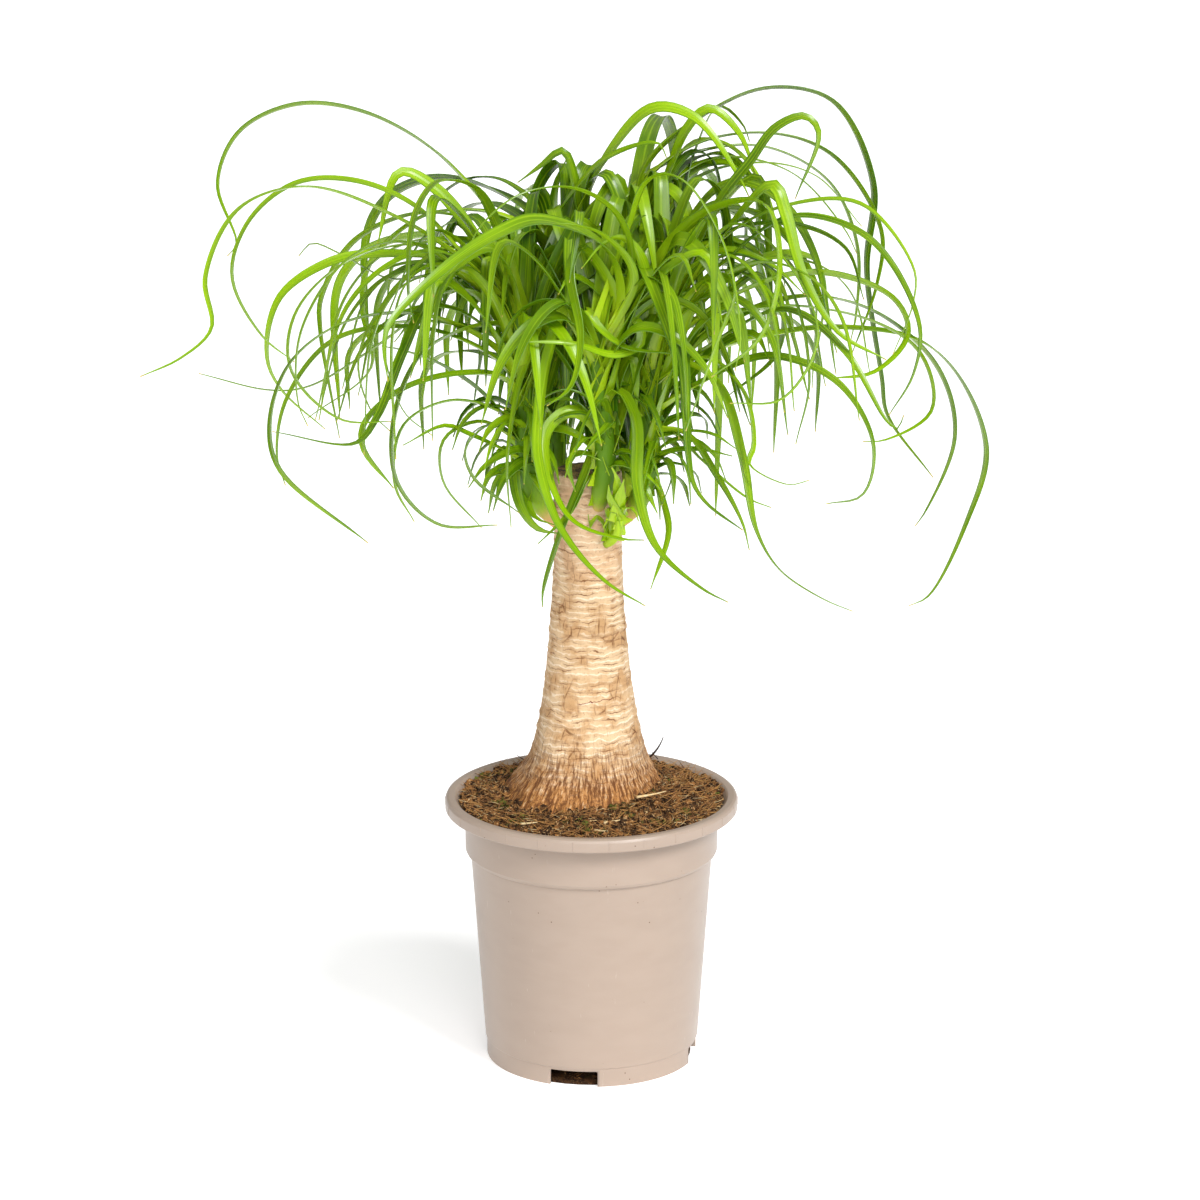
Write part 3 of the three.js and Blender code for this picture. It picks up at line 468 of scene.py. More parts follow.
def strands(name, count, material, size, length, rise, seed):
    """Many strands that lie loosely on the soil, from sizes and lengths in mm."""
    draw = random.Random(seed)
    bm = bmesh.new()
    batch = bmesh.new()
    for i in range(count):
        if i % BATCH == BATCH - 1:
            merge_into(bm, batch)
            batch = bmesh.new()
        x, y = soil_spot(draw, -1.0, 84.0)
        turn = draw.uniform(0, 2 * math.pi)
        heading = (math.cos(turn), math.sin(turn), draw.uniform(-0.12, rise))
        curl = (draw.uniform(-0.4, 0.4), draw.uniform(-0.4, 0.4), draw.uniform(-1.6, 1.6))
        start = (x, y, soil_height(x, y) + draw.uniform(0.0, 1.4))
        grow_strand(batch, start, heading, draw.uniform(*length), draw.uniform(*size), curl)
    merge_into(bm, batch)
    bmesh.ops.recalc_face_normals(bm, faces=bm.faces)
    for vert in bm.verts:
        out = vert.co.xy.length
        if out > STRAND_LIMIT * MM:
            vert.co.xy *= STRAND_LIMIT * MM / out
    return as_piece(name, bm, material, crease=180)


washed_bm = bmesh.new()
bmesh.ops.create_cone(washed_bm, cap_ends=True, segments=48, radius1=(FOOT_RADIUS - FOOT_RING - 0.6) * MM,
                      radius2=(FOOT_RADIUS - FOOT_RING - 3) * MM, depth=1.6 * MM,
                      matrix=Matrix.Translation((0, 0, 0.9 * MM)))
for i in range(WASHED_STRANDS):
    turn = math.radians(NOTCH_TURN - 90 + 90 * (i % NOTCHES) + draw.uniform(-16, 16))
    out = draw.uniform(40, 61)
    start = (out * math.cos(turn), out * math.sin(turn), draw.uniform(2, 4))
    heading = (draw.uniform(-1, 1), draw.uniform(-1, 1), draw.uniform(-0.1, 0.5))
    one_bm = bmesh.new()
    grow_strand(one_bm, start, heading, draw.uniform(3, 8), draw.uniform(0.2, 0.5),
                (0.4, 0.3, draw.uniform(-1.5, 1.5)))
    merge_into(washed_bm, one_bm)
bmesh.ops.recalc_face_normals(washed_bm, faces=washed_bm.faces)
washed_shade_and_tone = washed_bm.verts.layers.float.new("shade_and_tone")
for vert in washed_bm.verts:
    vert.co.z = min(max(vert.co.z, 0.1 * MM), (FLOOR_UNDERSIDE - 0.8) * MM)
    # Near the floor the washed soil is painted almost fully dark: a painted shade under the pot, seen through
    # the notches. Higher bits vary at random.
    vert[washed_shade_and_tone] = 0.85 if vert.co.z < 2 * MM else draw.uniform(0.1, 0.8)
washed = as_piece("soil_washed_under_pot", washed_bm, soil.data.materials[0], crease=60)
coir = strands("soil_coir_fibres", 1500, plain_fibre("dry_brown_coir_fibre", COIR_BROWN, SOIL_BROWN, 2.0),
               (0.2, 0.5), (5, 17), 0.5, 5)
dark_coir = strands("soil_dark_roots", 700, plain_fibre("damp_dark_root", SOIL_DARK, SOIL_BROWN, 2.0),
                    (0.25, 0.6), (5, 15), 0.5, 6)
straw = strands("soil_straws", 420, plain_fibre("dry_pale_straw", STRAW_PALE, COIR_PALE, 3.0),
                (0.16, 0.4), (4, 12), 0.35, 8)
twig_bm = bmesh.new()
for start, heading, length, radius, curl, steps, sides in (
    ((33, 68, 176), (0.85, -0.05, 0.45), 24, 1.1, (0.1, -0.75, 0.1), 8, 6),
    ((44, 71, 178), (-0.5, 0.1, 0.4), 7, 0.4, (0.2, 0.5, 0.2), 6, 5),
    ((-58, 52, 171), (-0.2, -0.1, 0.9), 9, 0.5, (0.2, 0.5, 0.2), 6, 5),
):
    grow_strand(twig_bm, start, heading, length, radius, curl, steps, sides)
twigs = as_piece("soil_twigs", twig_bm, plain_fibre("dark_dead_twig", TWIG_DARK, SOIL_DARK, 1.5), crease=180)
stick_bm = bmesh.new()
for start, heading, length in (
    ((29, -50, 191), (0.96, 0.24, 0.06), 21),
    ((8, -66, 179), (0.95, 0.2, 0.06), 16),
    ((-26, -72, 176), (0.5, 0.6, 0.1), 12),
    ((2, -72, 176), (0.6, -0.5, 0.1), 10),
    ((-45, -62, 177), (0.9, -0.3, 0.15), 11),
    ((60, -34, 178), (0.3, 0.9, 0.1), 14),
):
    grow_strand(stick_bm, start, heading, length, 1.0, (0, 0, 0.3), sides=6)
sticks = as_piece("soil_pale_sticks", stick_bm, straw.data.materials[0], crease=180)
for piece in (soil, crumbs, washed, coir, dark_coir, straw, twigs, sticks):
    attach(piece, "root")
    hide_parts("soil")

# --- Trunk -------------------------------------------------------------------------------------
# The palm's caudex: a dry corky bark ringed by the scars of shed leaves, with short cracks and a
# few knots, flaring to a brown fibrous bulb at the soil. The head was sawn off flat long ago.

TRUNK_TOP = 394
TRUNK_FOOT = 128
TRUNK_X = -2.2
HEAD_RADIUS = 22
TRUNK_TAPER = 7
BULB_TOP = 330
BULB_SWELL = 21
BULB_POWER = 3.2
ROOT_TAPER = 22
COLLAR_TOP = 214
COLLAR_SWELL = 13
COLLAR_LEAN = -6
LOBE_TOP = 260
LOBE_BLEND = 90
FIBRE_TOP = 262
FIBRE_BLEND = 70
FIRST_SCAR = 176
TEAR_HEIGHT = 244
TEAR_SLOPE = 0.13
TEAR_JAG = 6
TRUNK_STEPS = 112
TRUNK_ROW = 1.25
BARK_CREAM = "#dcbd96"
BARK_PALE_HIGHLIGHT = "#f0dcc0"
BARK_TAN = "#c49a6c"
BARK_SCAR = "#805532"
BARK_PINK = "#e6bfa0"
BARK_FIBRE = "#6b401e"
BARK_FIBRE_LIGHT = "#c08446"
CRACK_RED = "#7a3c26"
CUT_GREY = "#6d5650"
CUT_DARK = "#3c2b2a"


def collar_share(height):
    """Share of the root collar's flare at a height: none above it, and all from the soil down."""
    return held((COLLAR_TOP - height) / (COLLAR_TOP - SOIL_LEVEL)) ** 2


def trunk_radius(height):
    """Radius in mm: straight near the head, and flared to a bulb at the soil."""
    flare = held((BULB_TOP - height) / (BULB_TOP - SOIL_LEVEL))
    buried = held((SOIL_LEVEL - height) / (SOIL_LEVEL - TRUNK_FOOT))
    above = HEAD_RADIUS + TRUNK_TAPER * flare + BULB_SWELL * flare ** BULB_POWER
    return above + COLLAR_SWELL * collar_share(height) - ROOT_TAPER * buried ** 2


def scar_rings():
    """The leaf-scar rings, unevenly spaced as growth was: height, where and how far each swings, depth."""
    pick = random.Random(17)
    rings = []
    height = FIRST_SCAR
    while height < TRUNK_TOP - 4:
        rings.append((height, pick.uniform(0, 6.28), pick.uniform(0.6, 2.2), pick.uniform(0.25, 1.0)))
        height += pick.uniform(4.5, 13.5)
    return rings


SCARS = scar_rings()
# Knots on the front: across, height, size and depth.
KNOTS = (
    (-11, 334, 1.9, 0.9), (17, 312, 1.7, 1.0), (-3, 312, 0.8, 0.5), (8, 352, 1.2, 0.4), (-14, 296, 1.4, 0.5),
)


def bark_relief(turn, height):
    """How far the bark stands out in mm, how dark its scar is, and how torn it is, at a place."""
    right, back = math.cos(turn), math.sin(turn)
    wander = noise.noise((2.2 * right, 2.2 * back, height / 40))
    stand = 0.0
    dark = 0.0
    torn = 0.0
    for ring, phase, swing, depth in SCARS:
        drift = 2.4 * noise.noise((4 * right + phase, 4 * back, ring))
        off = height - (ring + swing * math.sin(turn + phase) + drift)
        if abs(off) < 9:
            patchy = 0.55 + 0.9 * noise.noise((5 * right, 5 * back + phase, ring / 7))
            near = math.exp(-(off / 0.9) ** 2) * max(0, patchy) * depth
            stand -= 0.9 * near
            stand += 0.9 * depth * math.exp(-((off - 2.2) / 1.9) ** 2)
            dark = max(dark, near)
    fibres = noise.noise((26 * right, 26 * back, height / 26))
    stand += 1.3 * held((FIBRE_TOP - height) / FIBRE_BLEND) * fibres + 0.7 * wander
    stand += 0.35 * noise.noise((9 * right, 9 * back, height / 2.6))
    if back < 0:
        across = 24 * right
        for x, z, size, depth in KNOTS:
            gap = math.hypot(across - x, height - z) / size
            stand += depth * (0.7 * math.exp(-((gap - 1.2) / 0.5) ** 2) - math.exp(-gap ** 2))
            dark = max(dark, math.exp(-gap ** 2))
        tear = TEAR_HEIGHT + TEAR_JAG / 2 + TEAR_SLOPE * across
        torn = math.exp(-((height - tear) / 6) ** 4) * held((10 - abs(across - 4)) / 2)
    return stand, dark, torn


def ringed_bark():
    """Corky bark: matt and dry, cream on the bands, brown in the scars, streaked and dark at the foot, with
    pale crests that are partly painted highlight.
    """
    material, tree = new_material("dry_ringed_palm_bark")
    place = add_node(tree, "TexCoord", {}, "Object")
    height = add_node(tree, "SeparateXYZ", {"Vector": place}, "Z")
    across = add_node(tree, "SeparateXYZ", {"Vector": place}, "X")
    scar = add_node(tree, "Attribute", {}, "Fac", attribute_name="scar")
    torn = add_node(tree, "Attribute", {}, "Fac", attribute_name="crack")
    cloud = add_node(tree, "TexNoise", {"Vector": place, "Scale": 1 / (12 * MM), "Detail": 5.0})
    patch = add_node(tree, "TexNoise", {"Vector": place, "Scale": 1 / (9 * MM), "Detail": 2.0})
    jag = add_node(tree, "TexNoise", {"Vector": place, "Scale": 1 / (5 * MM), "Detail": 3.0})
    fleck = add_node(tree, "TexNoise", {"Vector": place, "Scale": 1 / (1.6 * MM), "Detail": 4.0})

    # The tear is a thin line, jagged and rising to the right.
    tear = add_node(tree, "Math", {0: jag, 1: -TEAR_JAG * MM, 2: height}, operation="MULTIPLY_ADD")
    tear = add_node(tree, "Math", {0: across, 1: -TEAR_SLOPE, 2: tear}, operation="MULTIPLY_ADD")
    tear = add_node(tree, "Math", {0: tear, 1: TEAR_HEIGHT * MM, 2: 0.35 * MM}, operation="COMPARE")

    # Scars are wavy bands. Splits and fibres lie in a space that is wrapped round the trunk.
    wavy = {"Vector": place, "Scale": 2 * math.pi / (20 * 4.6 * MM), "Distortion": 5.5, "Detail": 4.0,
            "Detail Scale": 1.3, "Detail Roughness": 0.55}
    ridge = add_node(tree, "TexWave", wavy, "Fac", wave_type="BANDS", bands_direction="Z")
    flat = add_node(tree, "Mapping", {"Vector": place, "Scale": (1.0, 1.0, 0.0)})
    round_it = add_node(tree, "VectorMath", {0: flat}, operation="NORMALIZE")
    wraps = []
    for reach, squeeze in ((32, 0.42), (44, 0.2)):
        rise = add_node(tree, "Mapping", {"Vector": place, "Scale": (0.0, 0.0, squeeze)})
        wrap = {0: round_it, 1: (reach * MM, reach * MM, 0.0), 2: rise}
        wraps.append(add_node(tree, "VectorMath", wrap, operation="MULTIPLY_ADD"))
    blocky = {"Vector": wraps[0], "Scale": 1 / (8 * MM), "Randomness": 0.9}
    block = add_node(tree, "TexVoronoi", blocky, "Distance", feature="DISTANCE_TO_EDGE")
    long_grain = {"Vector": wraps[1], "Scale": 1 / (1.5 * MM), "Detail": 6.0, "Roughness": 0.65}
    streak = add_node(tree, "TexNoise", long_grain)

    base = painted(tree, BARK_CREAM, BARK_TAN, (cloud, 0.38, 0.66))
    base = painted(tree, base, BARK_PINK, (height, 0.30, 0.37, 0.45))
    # Pale crests on the wavy ridges: partly pale bark, partly a painted highlight where light catches the
    # raised ridges.
    base = painted(tree, base, BARK_PALE_HIGHLIGHT, (ridge, 0.82, 1.0), (cloud, 0.65, 0.35))
    base = painted(tree, base, BARK_SCAR, (ridge, 0.13, 0.0), (patch, 0.4, 0.72))
    split = share_of(tree, (block, 0.05, 0.015), (cloud, 0.48, 0.74), (height, 0.37, 0.31))
    base = painted(tree, base, BARK_SCAR, split)
    base = painted(tree, base, BARK_SCAR, (fleck, 0.58, 0.74, 0.5))
    base = painted(tree, base, BARK_SCAR, (scar, 0.2, 0.9), patch)
    fibrous = painted(tree, BARK_FIBRE, BARK_FIBRE_LIGHT, (streak, 0.4, 0.58))
    # The highest fibre streaks turn cream: partly pale fibre, partly a painted highlight on the raised fibre
    # crests.
    fibrous = painted(tree, fibrous, BARK_CREAM, (streak, 0.58, 0.68))
    fibrous = painted(tree, fibrous, BARK_FIBRE, (fleck, 0.5, 0.36, 0.75))
    wavering = add_node(tree, "Math", {0: streak, 1: 0.1, 2: height}, operation="MULTIPLY_ADD")
    base = painted(tree, base, fibrous, (wavering, 0.275, 0.235))
    base = painted(tree, base, CRACK_RED, (share_of(tree, tear, torn), 0.2, 0.7))
    grain = add_node(tree, "Math", {0: fleck, 1: streak}, operation="ADD")
    ridged = add_node(tree, "Math", {0: ridge, 1: 0.7, 2: grain}, operation="MULTIPLY_ADD")
    carved = add_node(tree, "Math", {0: ridged, 1: split}, operation="SUBTRACT")
    bump = add_node(tree, "Bump", {"Strength": 0.8, "Distance": 0.8 * MM, "Height": carved})
    return finished(material, {
        "Base Color": base, "Normal": bump, "Roughness": 0.78, "Specular IOR Level": 0.35,
    })


trunk_rows = int((TRUNK_TOP - TRUNK_FOOT) / TRUNK_ROW)
trunk_heights = [TRUNK_FOOT + i * TRUNK_ROW for i in range(trunk_rows)]
trunk_profile = [(0, TRUNK_FOOT)] + [(trunk_radius(height), height) for height in trunk_heights]
trunk_profile += [(21.4, TRUNK_TOP - 0.6), (20.4, TRUNK_TOP), (14, TRUNK_TOP), (7, TRUNK_TOP), (0, TRUNK_TOP)]
trunk_bm = spun(trunk_profile, TRUNK_STEPS)
scar_layer = trunk_bm.verts.layers.float.new("scar")
crack_layer = trunk_bm.verts.layers.float.new("crack")
for vert in trunk_bm.verts:
    x, y, z = vert.co / MM
    out = math.hypot(x, y)
    turn = math.atan2(y, x)
    low = held((LOBE_TOP - z) / LOBE_BLEND)
    wave = 1 + 0.02 * math.sin(2 * turn + z / 34) + 0.035 * low * math.sin(5 * turn + 0.6)
    if out > 0.1 and z < TRUNK_TOP - 0.3:
        stand, vert[scar_layer], vert[crack_layer] = bark_relief(turn, z)
        wave += stand / out
    elif z > TRUNK_TOP - 0.3:
        vert.co.z += 0.5 * noise.noise((x / 3, y / 3, 0)) * MM
    vert.co.x = (x * wave + TRUNK_X + COLLAR_LEAN * collar_share(z)) * MM
    vert.co.y = y * wave * MM
trunk = as_piece("trunk_caudex", trunk_bm, ringed_bark(), crease=75)


def sawn_head():
    """Old sawn pith: grey-brown, rough and fibrous, with dark vessels end on."""
    material, tree = new_material("weathered_sawn_pith")
    place = add_node(tree, "TexCoord", {}, "Object")
    vessel = add_node(tree, "TexVoronoi", {"Vector": place, "Scale": 1 / (1.3 * MM)}, "Distance")
    cloud = add_node(tree, "TexNoise", {"Vector": place, "Scale": 1 / (6 * MM), "Detail": 4.0})
    base = painted(tree, CUT_GREY, BARK_TAN, (cloud, 0.35, 0.65))
    base = painted(tree, base, CUT_DARK, (vessel, 0.4, 0.1))
    bump = add_node(tree, "Bump", {"Strength": 0.8, "Distance": 0.6 * MM, "Height": vessel})
    return finished(material, {"Base Color": base, "Normal": bump, "Roughness": 0.9})


trunk.data.materials.append(sawn_head())
for face in trunk.data.polygons:
    if face.normal.z > 0.8 and face.center.z > (TRUNK_TOP - 2) * MM:
        face.material_index = 1
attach(trunk, "root")
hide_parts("trunk")

# --- Leafy shoots ------------------------------------------------------------------------------
# Six side shoots that sprouted round the sawn head. Each is a short stem sheathed by the broad
# bases of its leaves: long tough straps, channelled and glossy, that rise, arch over and hang.

EYE = Vector((5.6, -3000, 1163))
LEAF_WIDEST = 13
LEAF_NARROWEST = 6
GOLDEN_SHARE = 0.618034
ROOT_RADIUS = 2.6
ROOT_RISE = 0.4
MOST_TWIST = math.radians(60)
MOST_SWING = math.radians(50)
TWIST_PACE = 1.7
LEAF_THICKNESS = 0.55
LEAF_POINT = 14
LEAF_STEP = 5
STEM_STEP = 2.5
STEM_FOOT = 30
CURVE_PARTS = 12
UV_SPAN = 100
# Leaves that point back and end within this reach, in mm, sit inside the crown and are painted darker, as
# painted shade.
SHADED_INNER_REACH = 95
# A heart leaf that ends higher above its root than this rises all the way.
RISING_HANG = -50

LEAF_GREEN = "#88ae04"
LEAF_DEEP = "#2f5a03"
LEAF_YOUNG = "#a8c920"
LEAF_BASE = "#b0cf20"
LEAF_TIP = "#b9a04a"
LEAF_MARGIN = "#3f6a12"
STEM_PEACH = "#d9a873"
STEM_YELLOW = "#86a322"
STEM_SHADED = "#5d8706"

# Stem centrelines as x, y, z in mm, with the radius at the base and at the head.
STEMS = {
    "shoot_left": (
        ((-20, -2, 358), (-33, -9, 376), (-40, -12, 400), (-42, -13, 440), (-46, -12, 500)), 8, 5.5,
    ),
    "shoot_front": (
        ((2, -12, 366), (6, -23, 384), (9, -29, 402), (7, -33, 440), (3, -33, 492)), 7.5, 5.5,
    ),
    "shoot_front_bud": (
        ((8, -16, 349), (13, -25, 354), (17, -31, 362), (18, -33, 370)), 5, 2.4,
    ),
    "shoot_right": (
        ((18, -4, 360), (30, -9, 376), (35, -11, 400), (38, -11, 438), (44, -9, 492)), 8, 5.5,
    ),
    "shoot_back_left": (
        ((-11, 13, 360), (-20, 24, 380), (-24, 29, 410), (-21, 29, 470), (-17, 26, 528)), 8, 5.5,
    ),
    "shoot_back_right": (
        ((10, 14, 360), (20, 24, 380), (25, 29, 410), (26, 29, 470), (30, 26, 528)), 8, 5.5,
    ),
}

# Leaves read from the front: the height of the root on the stem, the seen width, how far behind
# the trunk's axis the tip lies, and points along the leaf, across and up on the axis plane.
READ_LEAVES = {
    "shoot_left": (
        (490, 5, -62, ((-75, 525), (-112, 565), (-150, 581), (-186, 579), (-215, 555), (-226, 520),
            (-208, 482), (-188, 465))),
        (495, 5.5, -192, ((-80, 528), (-124, 558), (-180, 577), (-222, 562), (-243, 519), (-240, 486),
            (-260, 467), (-286, 455))),
        (480, 6, -18, ((-70, 522), (-95, 531), (-130, 534), (-162, 530), (-196, 507), (-205, 469),
            (-197, 448), (-169, 421))),
        (475, 4, 20, ((-73, 519), (-98, 503), (-139, 472), (-180, 448), (-205, 446), (-249, 457))),
        (470, 8, -116, ((-77, 509), (-100, 505), (-119, 470), (-136, 428), (-150, 411), (-203, 419))),
        (450, 7, -104, ((-52, 485), (-72, 487), (-105, 471), (-124, 430), (-123, 386), (-98, 359),
            (-60, 358))),
        (430, 9, -84, ((-55, 452), (-81, 456), (-120, 446), (-144, 424), (-145, 409), (-126, 382))),
        (440, 6, -160, ((-60, 471), (-105, 494), (-155, 490), (-190, 464), (-204, 424), (-198, 394),
            (-143, 346))),
        (435, 4.5, -42, ((-60, 465), (-108, 486), (-162, 479), (-193, 441), (-200, 403), (-195, 384))),
        (485, 4, 6, ((-85, 520), (-127, 518), (-158, 534), (-176, 541), (-184, 533))),
        (495, 8, -78, ((-62, 557), (-75, 577), (-96, 580), (-110, 560), (-115, 511), (-112, 490))),
        (415, 4, -62, ((-56, 430), (-88, 439), (-119, 423), (-125, 385), (-113, 360))),
        (410, 3, -34, ((-70, 425), (-93, 414), (-94, 387), (-70, 356))),
        (405, 3.5, -50, ((-59, 425), (-79, 409), (-75, 390), (-46, 366))),
        (495, 2.5, -98, ((-99, 538), (-150, 531), (-186, 497), (-190, 460), (-160, 428), (-127, 426))),
        (490, 2.5, -128, ((-110, 540), (-150, 533), (-183, 485), (-186, 439), (-180, 423))),
        (490, 2, -30, ((-98, 528), (-137, 520), (-162, 480), (-162, 452))),
        (500, 3, -52, ((-88, 538), (-128, 505), (-147, 466), (-139, 432), (-128, 420))),
        (498, 2.5, -88, ((-98, 549), (-124, 505), (-131, 480), (-119, 433), (-101, 417))),
        (400, 2.5, -20, ((-79, 418), (-93, 423), (-120, 410))),
        (402, 5, -20, ((-57, 408), (-62, 396))),
        (392, 3, -16, ((-58, 392), (-68, 387))),
        (396, 6, -38, ((-49, 400), (-49, 385), (-44, 367), (-34, 355), (-20, 352))),
        (385, 5, -30, ((-44, 386), (-42, 376), (-35, 363), (-23, 358))),
        (492, 3.5, -62, ((-38, 480), (-46, 447), (-53, 400), (-51, 356))),
    ),
    "shoot_front": (
        (470, 13, -178, ((16, 508), (8, 538), (-33, 556), (-60, 547), (-95, 523), (-128, 489), (-131, 475),
            (-129, 452))),
        (480, 4, -122, ((24, 520), (17, 558), (-11, 576), (-45, 572), (-70, 551), (-78, 535))),
        (485, 6, -66, ((34, 522), (20, 545), (8, 541), (-6, 525))),
        (483, 4, -88, ((27, 519), (8, 546), (-13, 553), (-30, 553))),
        (450, 12, -112, ((0, 475), (-15, 497), (-26, 470), (-33, 425), (-33, 402), (-20, 358), (8, 322),
            (35, 304))),
        (412, 6, -76, ((2, 425), (-12, 433), (-27, 422), (-28, 398), (-12, 362), (20, 349), (34, 348))),
        (400, 10, -98, ((9, 428), (17, 445), (27, 428), (29, 382), (41, 343), (71, 315), (88, 306))),
        (470, 10, -126, ((29, 495), (45, 508), (56, 478), (61, 405), (65, 384), (74, 371), (97, 354))),
        (480, 12, -92, ((14, 500), (7, 521), (-6, 537), (-12, 525), (-6, 480), (-13, 448), (-28, 436))),
        (400, 8, -48, ((5, 407), (-4, 388), (-19, 352), (-31, 312), (-31, 303))),
        (396, 4, -42, ((0, 388), (-14, 365), (-34, 345))),
        (402, 6, -40, ((-1, 403), (-10, 404), (-14, 398), (-10, 380))),
        (488, 4, -74, ((16, 496), (30, 491), (31, 477), (16, 470), (-12, 477), (-45, 478))),
        (490, 3, -62, ((-3, 500), (5, 487), (22, 474), (52, 470))),
        (490, 4, -108, ((24, 550), (35, 580), (47, 585), (60, 579), (84, 538), (94, 480), (91, 459))),
    ),
    "shoot_front_bud": (
        (366, 7, -42, ((12, 374), (11, 384))),
        (368, 7, -44, ((19, 378), (21, 388))),
        (370, 5, -46, ((17, 380), (16, 390), (13, 396))),
        (362, 4, -44, ((21, 368), (27, 368), (30, 360))),
    ),
    "shoot_right": (
        (480, 8, -20, ((65, 530), (82, 569), (100, 593), (116, 615), (134, 622), (142, 612), (128, 570))),
        (485, 9, -58, ((57, 506), (88, 551), (114, 578), (122, 560), (133, 522), (156, 484), (187, 466))),
        (480, 9, -90, ((44, 528), (74, 561), (108, 566), (118, 530), (107, 482), (76, 455))),
        (490, 2.5, -34, ((85, 545), (127, 566), (170, 566), (203, 525), (203, 503), (191, 470))),
        (485, 5, -48, ((80, 525), (127, 558), (175, 544), (207, 490), (204, 457), (189, 430))),
        (490, 5, -6, ((80, 545), (127, 553), (160, 538), (172, 505))),
        (465, 7, 4, ((82, 502), (139, 522), (190, 506), (200, 483), (180, 459), (150, 454))),
        (455, 6, 170, ((92, 476), (160, 486), (216, 473), (251, 410), (240, 360), (216, 310), (204, 304))),
        (450, 6, 124, ((78, 484), (131, 506), (176, 498), (219, 461), (231, 415), (213, 366), (207, 357))),
        (445, 6, -66, ((69, 470), (124, 498), (161, 471), (188, 426), (195, 421), (199, 430))),
        (455, 4, 36, ((87, 494), (151, 498), (206, 473), (216, 433), (187, 414), (173, 413))),
        (430, 5.5, -36, ((65, 447), (112, 468), (155, 452), (179, 412), (173, 378), (150, 372))),
        (445, 11, -164, ((55, 463), (78, 451), (95, 403), (105, 353), (121, 327), (149, 308), (168, 300))),
        (445, 5, -104, ((71, 467), (96, 445), (103, 410), (100, 398), (126, 384), (139, 387))),
        (490, 2.5, -118, ((90, 553), (118, 535), (143, 482), (121, 441), (88, 438))),
        (490, 3, -76, ((85, 533), (121, 518), (138, 455), (130, 411))),
        (485, 4, -14, ((80, 536), (111, 529), (135, 508))),
        (398, 3, -34, ((47, 401), (51, 392), (45, 371))),
        (415, 4, -52, ((48, 420), (70, 400), (100, 375), (115, 369))),
        (420, 6, -80, ((58, 418), (80, 389), (97, 357), (101, 341))),
        (412, 3.5, -28, ((62, 419), (78, 417), (92, 408))),
        (404, 3, -12, ((55, 407), (72, 407), (90, 403))),
        (388, 3.5, -48, ((38, 388), (47, 367), (49, 352), (38, 315))),
    ),
    "shoot_back_left": (
        (512, 6, 88, ((-58, 556), (-100, 601), (-145, 625), (-185, 629), (-220, 612), (-234, 579),
            (-223, 541), (-229, 533))),
        (515, 5, 44, ((-56, 549), (-105, 560), (-148, 543), (-170, 506), (-171, 487), (-160, 415))),
        (520, 5, 66, ((-51, 556), (-81, 562), (-107, 557), (-139, 528), (-144, 500), (-139, 461),
            (-180, 428))),
        (525, 8, 20, ((-9, 550), (-13, 590), (-18, 600), (-32, 590), (-46, 580))),
        (520, 5, 40, ((-24, 560), (-22, 580), (-15, 596))),
        (520, 11, -12, ((-8, 554), (12, 598), (39, 627), (65, 621), (94, 581), (99, 571))),
        (522, 6, 2, ((-27, 545), (-18, 563), (9, 595), (42, 605), (47, 596))),
    ),
    "shoot_back_right": (
        (525, 8, 72, ((35, 588), (71, 622), (110, 639), (150, 631), (176, 580), (173, 525), (184, 454),
            (188, 430), (218, 389))),
        (520, 4.5, 48, ((32, 575), (64, 603), (110, 611), (151, 597), (182, 550), (180, 515), (165, 470))),
        (520, 6, 108, ((20, 562), (34, 583), (71, 600), (110, 602), (149, 580), (167, 540), (167, 494),
            (164, 478))),
        (515, 4, 138, ((60, 577), (100, 592), (141, 584), (170, 552))),
        (525, 8, 22, ((39, 552), (49, 585), (61, 615), (74, 627), (92, 612), (103, 585))),
        (520, 7, 60, ((52, 549), (65, 598), (80, 628), (95, 616), (99, 606))),
        (522, 2.5, 90, ((40, 565), (73, 594), (124, 587), (160, 549), (167, 535))),
        (520, 6, 134, ((60, 585), (85, 592), (102, 575), (104, 530), (107, 510), (114, 461))),
        (500, 5, 84, ((60, 530), (100, 540), (120, 502), (117, 470), (86, 442))),
    ),
}

# Leaves that grow away from the front: how many, their sector in degrees from +X, the reach of the
# longest, how far the lowest and the highest rise, and seed.
RULED_LEAVES = (
    ("shoot_back_left", 11, 90, 158, 172, 28, 48, 11),
    ("shoot_back_right", 11, 26, 92, 172, 38, 80, 29),
)


